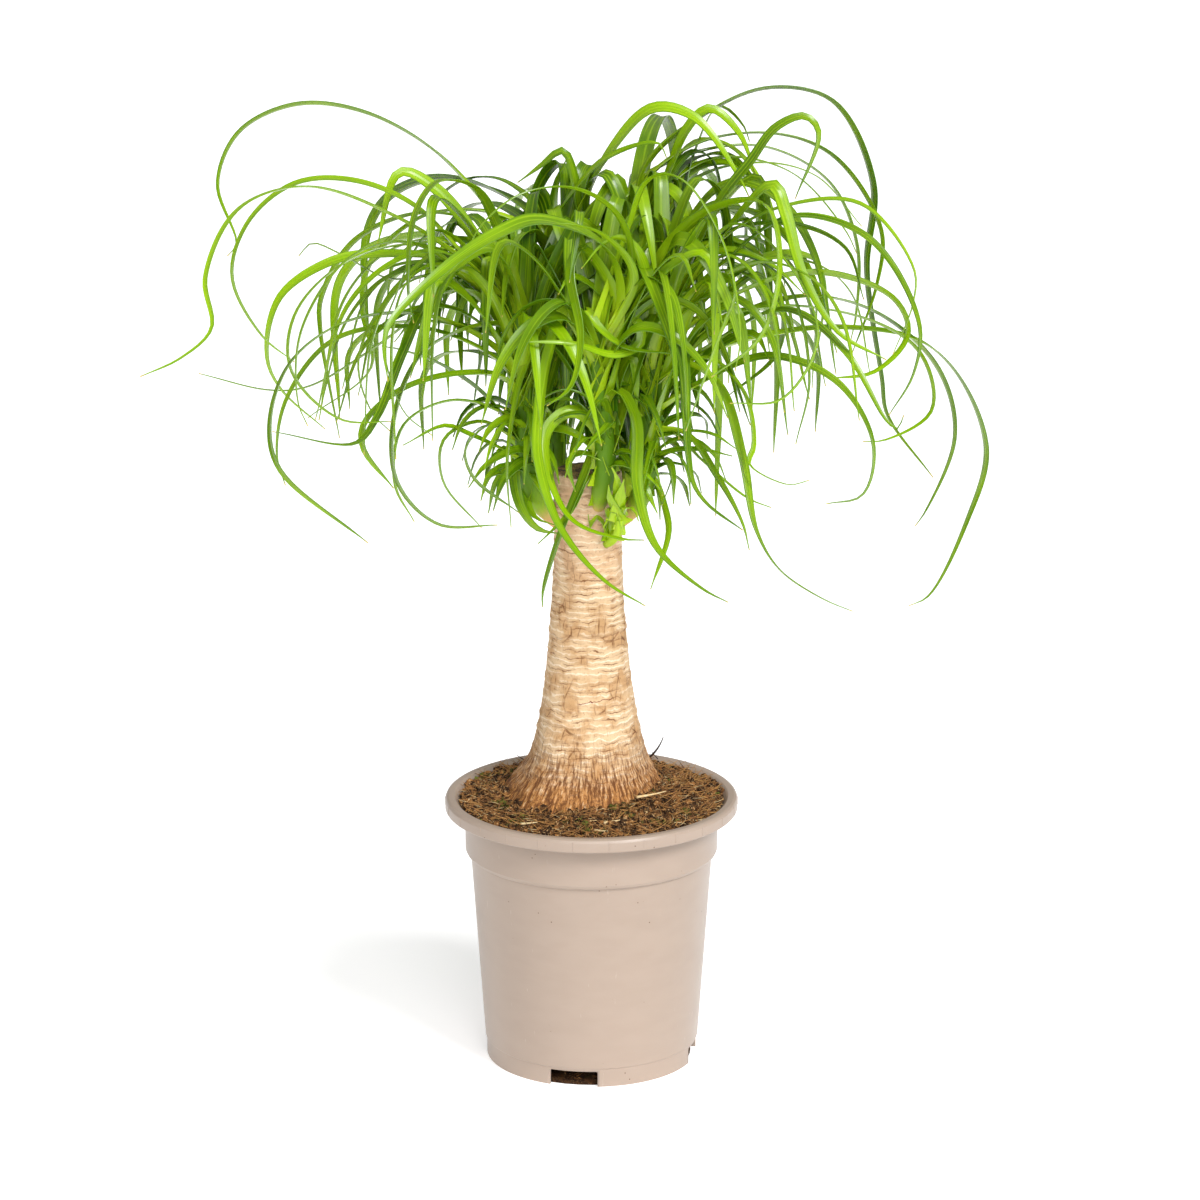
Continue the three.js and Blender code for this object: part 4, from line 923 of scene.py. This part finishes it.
# Leaves that fill each shoot's heart: how many, their sector, the heights of their roots, how
# far and how high they reach, how far they hang below the root (or, below 0, how far above it
# they end), their seen width, and seed.
HEART_LEAVES = (
    ("shoot_left", 9, 130, 235, 440, 498, 156, 84, 30, 5, 3),
    ("shoot_left", 8, 75, 150, 420, 495, 124, 92, 26, 8, 4),
    ("shoot_left", 3, 225, 300, 430, 492, 96, 84, 6, 11, 24),
    ("shoot_left", 8, -20, 190, 430, 495, 76, 108, -8, 12, 44),
    ("shoot_left", 9, -20, 205, 366, 430, 30, 124, -112, 12, 61),
    ("shoot_left", 7, -45, 40, 374, 470, 78, 128, -104, 13, 82),
    ("shoot_left", 5, 165, 225, 374, 470, 96, 118, -84, 13, 85),
    ("shoot_front", 3, 195, 250, 440, 488, 104, 80, 8, 10, 5),
    ("shoot_front", 3, 290, 350, 440, 488, 104, 80, 8, 10, 25),
    ("shoot_front", 6, 0, 180, 430, 485, 66, 112, -20, 13, 6),
    ("shoot_front", 8, -20, 200, 372, 430, 28, 124, -112, 13, 62),
    ("shoot_front", 6, -40, 36, 374, 470, 82, 132, -112, 14, 80),
    ("shoot_front", 5, 146, 218, 374, 470, 82, 132, -112, 14, 81),
    ("shoot_right", 10, -50, 48, 440, 490, 156, 90, 30, 5, 7),
    ("shoot_right", 8, 30, 110, 420, 485, 124, 102, 26, 8, 8),
    ("shoot_right", 3, -130, -60, 430, 485, 100, 90, 6, 11, 28),
    ("shoot_right", 8, -10, 200, 430, 485, 82, 128, -8, 13, 48),
    ("shoot_right", 9, -25, 200, 366, 430, 32, 130, -114, 13, 63),
    ("shoot_right", 7, -60, 30, 374, 470, 92, 136, -112, 14, 83),
    ("shoot_right", 5, 150, 226, 374, 470, 84, 132, -108, 14, 84),
    ("shoot_back_left", 10, 80, 200, 450, 525, 134, 50, 30, 6, 9),
    ("shoot_back_left", 5, 200, 330, 460, 520, 80, 58, -6, 11, 10),
    ("shoot_back_left", 8, 0, 360, 460, 520, 66, 70, -10, 12, 50),
    ("shoot_back_left", 9, 0, 360, 380, 470, 32, 118, -104, 13, 64),
    ("shoot_back_right", 10, -20, 100, 450, 525, 134, 80, 30, 6, 12),
    ("shoot_back_right", 5, -120, -10, 460, 520, 80, 94, -6, 11, 13),
    ("shoot_back_right", 8, 0, 360, 460, 520, 72, 100, -10, 13, 53),
    ("shoot_back_right", 9, 0, 360, 380, 470, 34, 136, -118, 13, 65),
    ("shoot_left", 11, 130, 330, 378, 440, 60, 28, 4, 5, 14),
    ("shoot_front", 10, 170, 370, 378, 434, 52, 26, 2, 5, 15),
    ("shoot_right", 11, -140, 50, 378, 440, 60, 28, 4, 5, 16),
    ("shoot_left", 7, 120, 310, 366, 398, 40, 24, 8, 7, 70),
    ("shoot_right", 7, -130, 60, 366, 398, 38, 24, 8, 7, 71),
    ("shoot_back_left", 14, 0, 360, 385, 450, 58, 54, 0, 11, 72),
    ("shoot_back_right", 14, 0, 360, 385, 450, 58, 54, 0, 11, 73),
    ("shoot_front_bud", 7, 150, 390, 350, 364, 13, 26, -26, 5, 17),
)


def seeded_draw(state):
    """Endless numbers from 0 to 1 from a seed."""
    while True:
        state = (state * 1664525 + 1013904223) % 4294967296
        yield state / 4294967296


def ease(share):
    """A share from 0 to 1, eased in and out."""
    return share * share * (3 - 2 * share)


def seen_point(across, up, depth):
    """The true point at a depth behind the axis plane that the eye sees at a place on that plane."""
    stretch = 1 - depth / EYE.y
    return Vector((EYE.x + (across - EYE.x) * stretch, depth, EYE.z + (up - EYE.z) * stretch))


def root_point(shoot, height, order):
    """A leaf's root, each a little further round its stem and up it than the last."""
    route = [Vector(point) for point in STEMS[shoot][0]]
    i = 1
    while i < len(route) - 1 and route[i].z < height + ROOT_RISE * (order % 7):
        i += 1
    low, high = route[i - 1], route[i]
    share = (height + ROOT_RISE * (order % 7) - low.z) / (high.z - low.z)
    turn = 2 * math.pi * ((order * GOLDEN_SHARE) % 1)
    return low.lerp(high, share) + Vector((math.cos(turn), math.sin(turn), 0)) * ROOT_RADIUS


def read_leaf(shoot, order, height, seen_width, tip_depth, marks):
    """The route of a leaf read from the front, its depth eased from the root's to the tip's."""
    root = root_point(shoot, height, order)
    lengths = [0.0]
    last = (root.x, root.z)
    for mark in marks:
        lengths.append(lengths[-1] + math.dist(mark, last))
        last = mark
    points = [root]
    for (across, up), length in zip(marks, lengths[1:]):
        share = ease(length / lengths[-1])
        points.append(seen_point(across, up, root.y + (tip_depth - root.y) * share))
    return points, seen_width


OPEN_ARCH = ((0.12, 0.62), (0.36, 0.95), (0.64, 0.98), (0.88, 0.66), (1, 0.1))
HEART_ARCH = ((0.1, 0.42), (0.26, 0.8), (0.46, 1.0), (0.68, 0.92), (0.87, 0.56))
RISING_ARCH = ((0.12, 0.3), (0.32, 0.66), (0.6, 0.94), (0.84, 1.03))


def ruled_leaf(root, direction, reach, rise, fall, seen_width, arch=OPEN_ARCH, swing=0.0):
    """The route of a leaf that follows an arch, scaled to its reach and rise, and swings aside."""
    points = [root]
    for out, drop in [(out, rise * up) for out, up in arch] + [(1, -fall)]:
        turned = direction + swing * out * out
        away = Vector((math.cos(turned), math.sin(turned), 0)) * reach * out
        points.append(root + away + Vector((0, 0, drop)))
    return points, seen_width


def ruled_leaves(shoot, count, start, end, reach, low_rise, high_rise, seed):
    """The leaves of one row of RULED_LEAVES."""
    numbers = seeded_draw(seed)
    for i in range(count):
        direction = math.radians(start + (end - start) * (((i + 1) * GOLDEN_SHARE) % 1))
        level = i / (count - 1)
        rise = low_rise + (high_rise - low_rise) * level + 8 * next(numbers)
        fall = 20 + 90 * next(numbers) - 30 * level
        own_reach = reach * (0.62 + 0.38 * next(numbers))
        root = root_point(shoot, 420 + 95 * level, i + 0.5)
        yield ruled_leaf(root, direction, own_reach, rise, fall, 8 + 4 * next(numbers))


def heart_leaves(shoot, count, start, end, low, high, reach, height, hang, seen_width, seed):
    """The leaves of one row of HEART_LEAVES."""
    numbers = seeded_draw(seed)
    for i in range(count):
        direction = math.radians(start + (end - start) * (((i + 1) * GOLDEN_SHARE) % 1))
        root = root_point(shoot, low + (high - low) * next(numbers), i + 0.3)
        own_reach = reach * (0.55 + 0.45 * next(numbers))
        rise = height * (0.6 + 0.4 * next(numbers))
        fall = hang * (0.3 + 0.7 * next(numbers))
        own_width = seen_width * (0.6 + 0.6 * next(numbers))
        swing = MOST_SWING * (2 * next(numbers) - 1)
        arch = RISING_ARCH if hang < RISING_HANG else HEART_ARCH
        yield ruled_leaf(root, direction, own_reach, rise, fall, own_width, arch, swing)


def smooth_route(points, step):
    """Evenly spaced points on the centripetal Catmull-Rom curve through some points, and its length."""
    ends = [points[0] * 2 - points[1]] + points + [points[-1] * 2 - points[-2]]
    fine = []
    for p0, p1, p2, p3 in zip(ends, ends[1:], ends[2:], ends[3:]):
        t0, t1 = 0.0, max(1e-4, (p1 - p0).length ** 0.5)
        t2 = t1 + max(1e-4, (p2 - p1).length ** 0.5)
        t3 = t2 + max(1e-4, (p3 - p2).length ** 0.5)
        for i in range(CURVE_PARTS):
            t = t1 + (t2 - t1) * i / CURVE_PARTS
            a1 = p0.lerp(p1, (t - t0) / (t1 - t0))
            a2 = p1.lerp(p2, (t - t1) / (t2 - t1))
            a3 = p2.lerp(p3, (t - t2) / (t3 - t2))
            b1 = a1.lerp(a2, (t - t0) / (t2 - t0))
            b2 = a2.lerp(a3, (t - t1) / (t3 - t1))
            fine.append(b1.lerp(b2, (t - t1) / (t2 - t1)))
    fine.append(points[-1])
    lengths = [0.0]
    for a, b in zip(fine, fine[1:]):
        lengths.append(lengths[-1] + (b - a).length)
    count = max(6, round(lengths[-1] / step))
    stations = []
    k = 0
    for i in range(count + 1):
        goal = lengths[-1] * i / count
        while k < len(fine) - 2 and lengths[k + 1] < goal:
            k += 1
        span = max(1e-6, lengths[k + 1] - lengths[k])
        stations.append(fine[k].lerp(fine[k + 1], (goal - lengths[k]) / span))
    return stations, lengths[-1]


def leaf_turn(points, seen_width, width):
    """The leaf's direction in plan, and how it is turned to show its seen width."""
    root = points[0]
    outermost = max(points, key=lambda point: (point.xy - root.xy).length)
    outward = Vector((outermost.x - root.x, outermost.y - root.y, 0)).normalized()
    towards_front = math.atan2(-outward.y, abs(outward.x))
    face = math.asin(min(1, seen_width / width))
    least = min((face - towards_front, -face - towards_front), key=abs)
    handed = -least if outward.x < 0 else least
    return outward, max(-MOST_TWIST, min(MOST_TWIST, handed))


def lay_leaf(bm, points, seen_width, tone_and_shade, pick):
    """Lays one leaf: a grid moved along its route, channelled, tapered, and given its thickness."""
    width = max(LEAF_NARROWEST, min(LEAF_WIDEST, seen_width + 3.5))
    stations, length = smooth_route(points, LEAF_STEP)
    outward, twist = leaf_turn(points, seen_width, width)
    level = Vector((0, 0, 1)).cross(outward)
    steps = len(stations) - 1
    uv_layer = bm.loops.layers.uv.verify()
    tone_and_shade_layer = bm.verts.layers.float["tone_and_shade"]
    along_layer = bm.verts.layers.float["along"]
    across_layer = bm.verts.layers.float["across"]
    grid = bmesh.ops.create_grid(bm, x_segments=4, y_segments=steps, size=0.5)["verts"]
    ripple = pick.uniform(0, 6.28)
    frames = []
    for i, station in enumerate(stations):
        share = i / steps
        along = (stations[min(steps, i + 1)] - stations[max(0, i - 1)]).normalized()
        level = (level - along * level.dot(along)).normalized()
        wobble = 0.14 * math.sin(ripple + share * 7)
        side = Matrix.Rotation(twist * ease(min(1, TWIST_PACE * share)) + wobble, 3, along) @ level
        frames.append((station, side, along.cross(side)))
    for vert in grid:
        share = vert.co.y + 0.5
        across = vert.co.x * 2
        station, side, face = frames[round(share * steps)]
        taper = 1 - 0.1 * share - 0.8 * share ** 2.1
        sharpen = min(1, (1 - share) * length / LEAF_POINT)
        half = 0.5 * max(0.6, width * taper * (0.3 + 0.7 * sharpen) * (1 + 0.4 * math.exp(-share * 14)))
        fold = math.radians(40 * math.exp(-share * 6) + 12)
        vert[tone_and_shade_layer] = tone_and_shade
        vert[along_layer] = share
        vert[across_layer] = across
        rise = abs(across) * half * math.sin(fold)
        vert.co = (station + side * across * half * math.cos(fold) + face * rise) * MM
    new_faces = list({face for vert in grid for face in vert.link_faces})
    for new_face in new_faces:
        for loop in new_face.loops:
            vert = loop.vert
            across, share = vert[across_layer], vert[along_layer]
            loop[uv_layer].uv = (across * width / (2 * UV_SPAN), share * length / UV_SPAN)
    bmesh.ops.recalc_face_normals(bm, faces=new_faces)
    bmesh.ops.solidify(bm, geom=new_faces, thickness=LEAF_THICKNESS * MM)


def strap_leaf(name, green, deep, young):
    """Living strap leaf: waxy and semi-gloss, light passes through it, with fine lengthwise veins; inner
    leaves are painted darker as shade.
    """
    material, tree = new_material(name)
    flat = add_node(tree, "TexCoord", {}, "UV")
    place = add_node(tree, "TexCoord", {}, "Object")
    tone_and_shade, along, across = (
        add_node(tree, "Attribute", {}, "Fac", attribute_name=layer) for layer in ("tone_and_shade", "along", "across")
    )
    vein_space = add_node(tree, "Mapping", {"Vector": flat, "Scale": (1.0, 0.02, 1.0)})
    vein = add_node(tree, "TexNoise", {"Vector": vein_space, "Scale": UV_SPAN / 1.7, "Detail": 3.0})
    cloud = add_node(tree, "TexNoise", {"Vector": place, "Scale": 1 / (45 * MM), "Detail": 2.0})
    edge = add_node(tree, "Math", {0: across}, operation="ABSOLUTE")
    # Each leaf is mixed from deep to green by a per-leaf share: random for most leaves, low on the inner ones
    # as painted shade.
    base = painted(tree, deep, green, tone_and_shade)
    base = painted(tree, base, young, (cloud, 0.35, 0.75, 0.3))
    base = painted(tree, base, young, (edge, 0.16, 0.0, 0.4))
    base = painted(tree, base, young, (vein, 0.5, 0.66, 0.42))
    base = painted(tree, base, LEAF_MARGIN, (edge, 0.8, 1.0, 0.5))
    base = painted(tree, base, LEAF_BASE, (along, 0.36, 0.0), (tone_and_shade, 0.0, 0.5))
    base = painted(tree, base, LEAF_TIP, (along, 0.985, 1.0))
    return finished(material, {
        "Base Color": base,
        "Normal": add_node(tree, "Bump", {"Strength": 0.35, "Distance": 0.15 * MM, "Height": vein}),
        "Roughness": 0.27,
        "IOR": 1.42,
        "Specular IOR Level": 0.55,
        "Subsurface Weight": 0.3,
        "Subsurface Radius": (0.6, 1.0, 0.05),
        "Subsurface Scale": 2.0 * MM,
    })


def sheathed_stem(name, head):
    """Overlapping leaf sheaths: pale yellow-green, flushed peach at the foot, with soft gloss; higher up the
    head colour, which on the main stems is a painted shade.
    """
    material, tree = new_material(name)
    place = add_node(tree, "TexCoord", {}, "Object")
    share = add_node(tree, "Attribute", {}, "Fac", attribute_name="along")
    streak_space = add_node(tree, "Mapping", {"Vector": place, "Scale": (1.0, 1.0, 0.08)})
    streak = add_node(tree, "TexNoise", {"Vector": streak_space, "Scale": 1 / (1.2 * MM), "Detail": 3.0})
    base = painted(tree, STEM_YELLOW, LEAF_GREEN, (streak, 0.4, 0.65))
    base = painted(tree, base, STEM_PEACH, (share, 0.16, 0.04))
    # Above the foot the stem takes the head colour: on the main stems a painted shade, as they stand in the
    # shade of their leaves; on the bud a young green.
    base = painted(tree, base, head, (share, 0.1, 0.3))
    return finished(material, {
        "Base Color": base,
        "Normal": add_node(tree, "Bump", {"Strength": 0.4, "Distance": 0.3 * MM, "Height": streak}),
        "Roughness": 0.5,
        "Specular IOR Level": 0.3,
        "Subsurface Weight": 0.3,
        "Subsurface Radius": (0.8, 1.0, 0.3),
        "Subsurface Scale": 3 * MM,
    })


def lay_stem(bm, shoot):
    """The stem: a capped tube laid along its route, ribbed by its sheaths."""
    route, base, head = STEMS[shoot]
    stations, _ = smooth_route([Vector(point) for point in route], STEM_STEP)
    steps = len(stations) - 1
    along_layer = bm.verts.layers.float["along"]
    tube = bmesh.ops.create_circle(bm, cap_ends=True, segments=30, radius=1)["verts"]
    rings = [tube]
    edges = list({edge for vert in tube for edge in vert.link_edges})
    for i in range(steps):
        grown = bmesh.ops.extrude_edge_only(bm, edges=edges)["geom"]
        rings.append([part for part in grown if isinstance(part, bmesh.types.BMVert)])
        edges = [part for part in grown if isinstance(part, bmesh.types.BMEdge)]
    bmesh.ops.contextual_create(bm, geom=edges)
    for i, ring in enumerate(rings):
        along = (stations[min(steps, i + 1)] - stations[max(0, i - 1)]).normalized()
        side = (Vector((1, 0, 0)) - along * along.x).normalized()
        face = along.cross(side)
        radius = (base + (head - base) * i / steps) * min(1, 0.5 + 0.5 * i * STEM_STEP / STEM_FOOT)
        for vert in ring:
            turn = math.atan2(vert.co.y, vert.co.x)
            sheath = (i * 0.23 - 1.5 * turn / math.pi) % 1
            reach = radius * (0.95 + 0.08 * sheath)
            spot = stations[i] + (side * math.cos(turn) + face * math.sin(turn)) * reach
            vert[along_layer] = i / steps
            vert.co = spot * MM


def new_shoot_mesh():
    """An empty bmesh with the layers that the leaf and stem materials read."""
    bm = bmesh.new()
    for layer in ("tone_and_shade", "along", "across"):
        bm.verts.layers.float.new(layer)
    bm.loops.layers.uv.verify()
    return bm


leaf_finish = strap_leaf("waxy_strap_leaf", LEAF_GREEN, LEAF_DEEP, LEAF_YOUNG)
young_finish = strap_leaf("young_strap_leaf", LEAF_YOUNG, LEAF_GREEN, LEAF_BASE)
stem_finish = sheathed_stem("pale_leaf_sheath", STEM_SHADED)
bud_finish = sheathed_stem("young_bud_sheath", LEAF_YOUNG)
for shoot, rows in READ_LEAVES.items():
    pick = random.Random(len(shoot) * 7 + len(rows))
    leaves = [read_leaf(shoot, order, *row) for order, row in enumerate(rows)]
    for rules, grown in ((RULED_LEAVES, ruled_leaves), (HEART_LEAVES, heart_leaves)):
        for rule in rules:
            if rule[0] == shoot:
                leaves += grown(*rule)
    blade_bm = new_shoot_mesh()
    for points, seen_width in leaves:
        one_bm = new_shoot_mesh()
        span = points[-1] - points[0]
        # Short leaves that point back sit inside the crown: they are painted dark green, a painted shade. The
        # others vary at random from dark to light green.
        inner = span.y > 0 and span.to_2d().length < SHADED_INNER_REACH
        tone_and_shade = pick.uniform(0.0, 0.35) if inner else pick.uniform(0.15, 1.0)
        lay_leaf(one_bm, points, seen_width, tone_and_shade, pick)
        merge_into(blade_bm, one_bm)
    young = shoot == "shoot_front_bud"
    blades = as_piece(f"{shoot}_leaves", blade_bm, young_finish if young else leaf_finish, crease=60)
    stem_bm = new_shoot_mesh()
    lay_stem(stem_bm, shoot)
    bmesh.ops.recalc_face_normals(stem_bm, faces=stem_bm.faces)
    stem = as_piece(f"{shoot}_stem", stem_bm, bud_finish if young else stem_finish, crease=60)
    for piece in (blades, stem):
        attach(piece, "root")
        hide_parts(shoot)

# --- Stage -------------------------------------------------------------------------------------
# A white paper sweep that glows faintly, under soft studio light: a key softbox from the front
# right, a broader one from the front and a pale sky. The camera stands 3 m away, above the plant.

FLOOR_REACH = 30
FLOOR_GLOW = 0.38
SKY_STRENGTH = 0.3
CAMERA_SENSOR = 36
CAMERA_LENS = 145.6
CAMERA_TILT = 15.91
FLOOR_WHITE = "#fbfbfb"
PURE_WHITE = "#ffffff"

floor_bm = bmesh.new()
bmesh.ops.create_grid(floor_bm, x_segments=1, y_segments=1, size=FLOOR_REACH)
floor_material, _ = new_material("white_paper_sweep")
finished(floor_material, {
    "Base Color": FLOOR_WHITE, "Roughness": 0.9, "Specular IOR Level": 0.1,
    "Emission Color": PURE_WHITE, "Emission Strength": FLOOR_GLOW,
})
floor = as_piece("floor", floor_bm, floor_material)

world = bpy.data.worlds.new("pale_studio")
world.use_nodes = True
sky = world.node_tree.nodes["Background"]
feed(world.node_tree, sky, {"Color": PURE_WHITE, "Strength": SKY_STRENGTH})
bpy.context.scene.world = world

for name, energy, spread, heading in (
    ("key_softbox", 2.3, 20, (-0.76, 0.92, -1.0)),
    ("front_softbox", 1.7, 40, (0.0, 1.0, -0.7)),
):
    light_data = bpy.data.lights.new(name, "SUN")
    light_data.energy = energy
    light_data.angle = math.radians(spread)
    light = bpy.data.objects.new(name, light_data)
    light.rotation_euler = Vector(heading).to_track_quat("-Z", "Y").to_euler()
    bpy.context.collection.objects.link(light)

camera_data = bpy.data.cameras.new("camera")
camera_data.sensor_width = CAMERA_SENSOR
camera_data.lens = CAMERA_LENS
camera = bpy.data.objects.new("camera", camera_data)
camera.location = EYE * MM
camera.rotation_euler = (math.radians(90 - CAMERA_TILT), 0, 0)
bpy.context.collection.objects.link(camera)
bpy.context.scene.camera = camera
bpy.context.scene.view_settings.view_transform = "Standard"
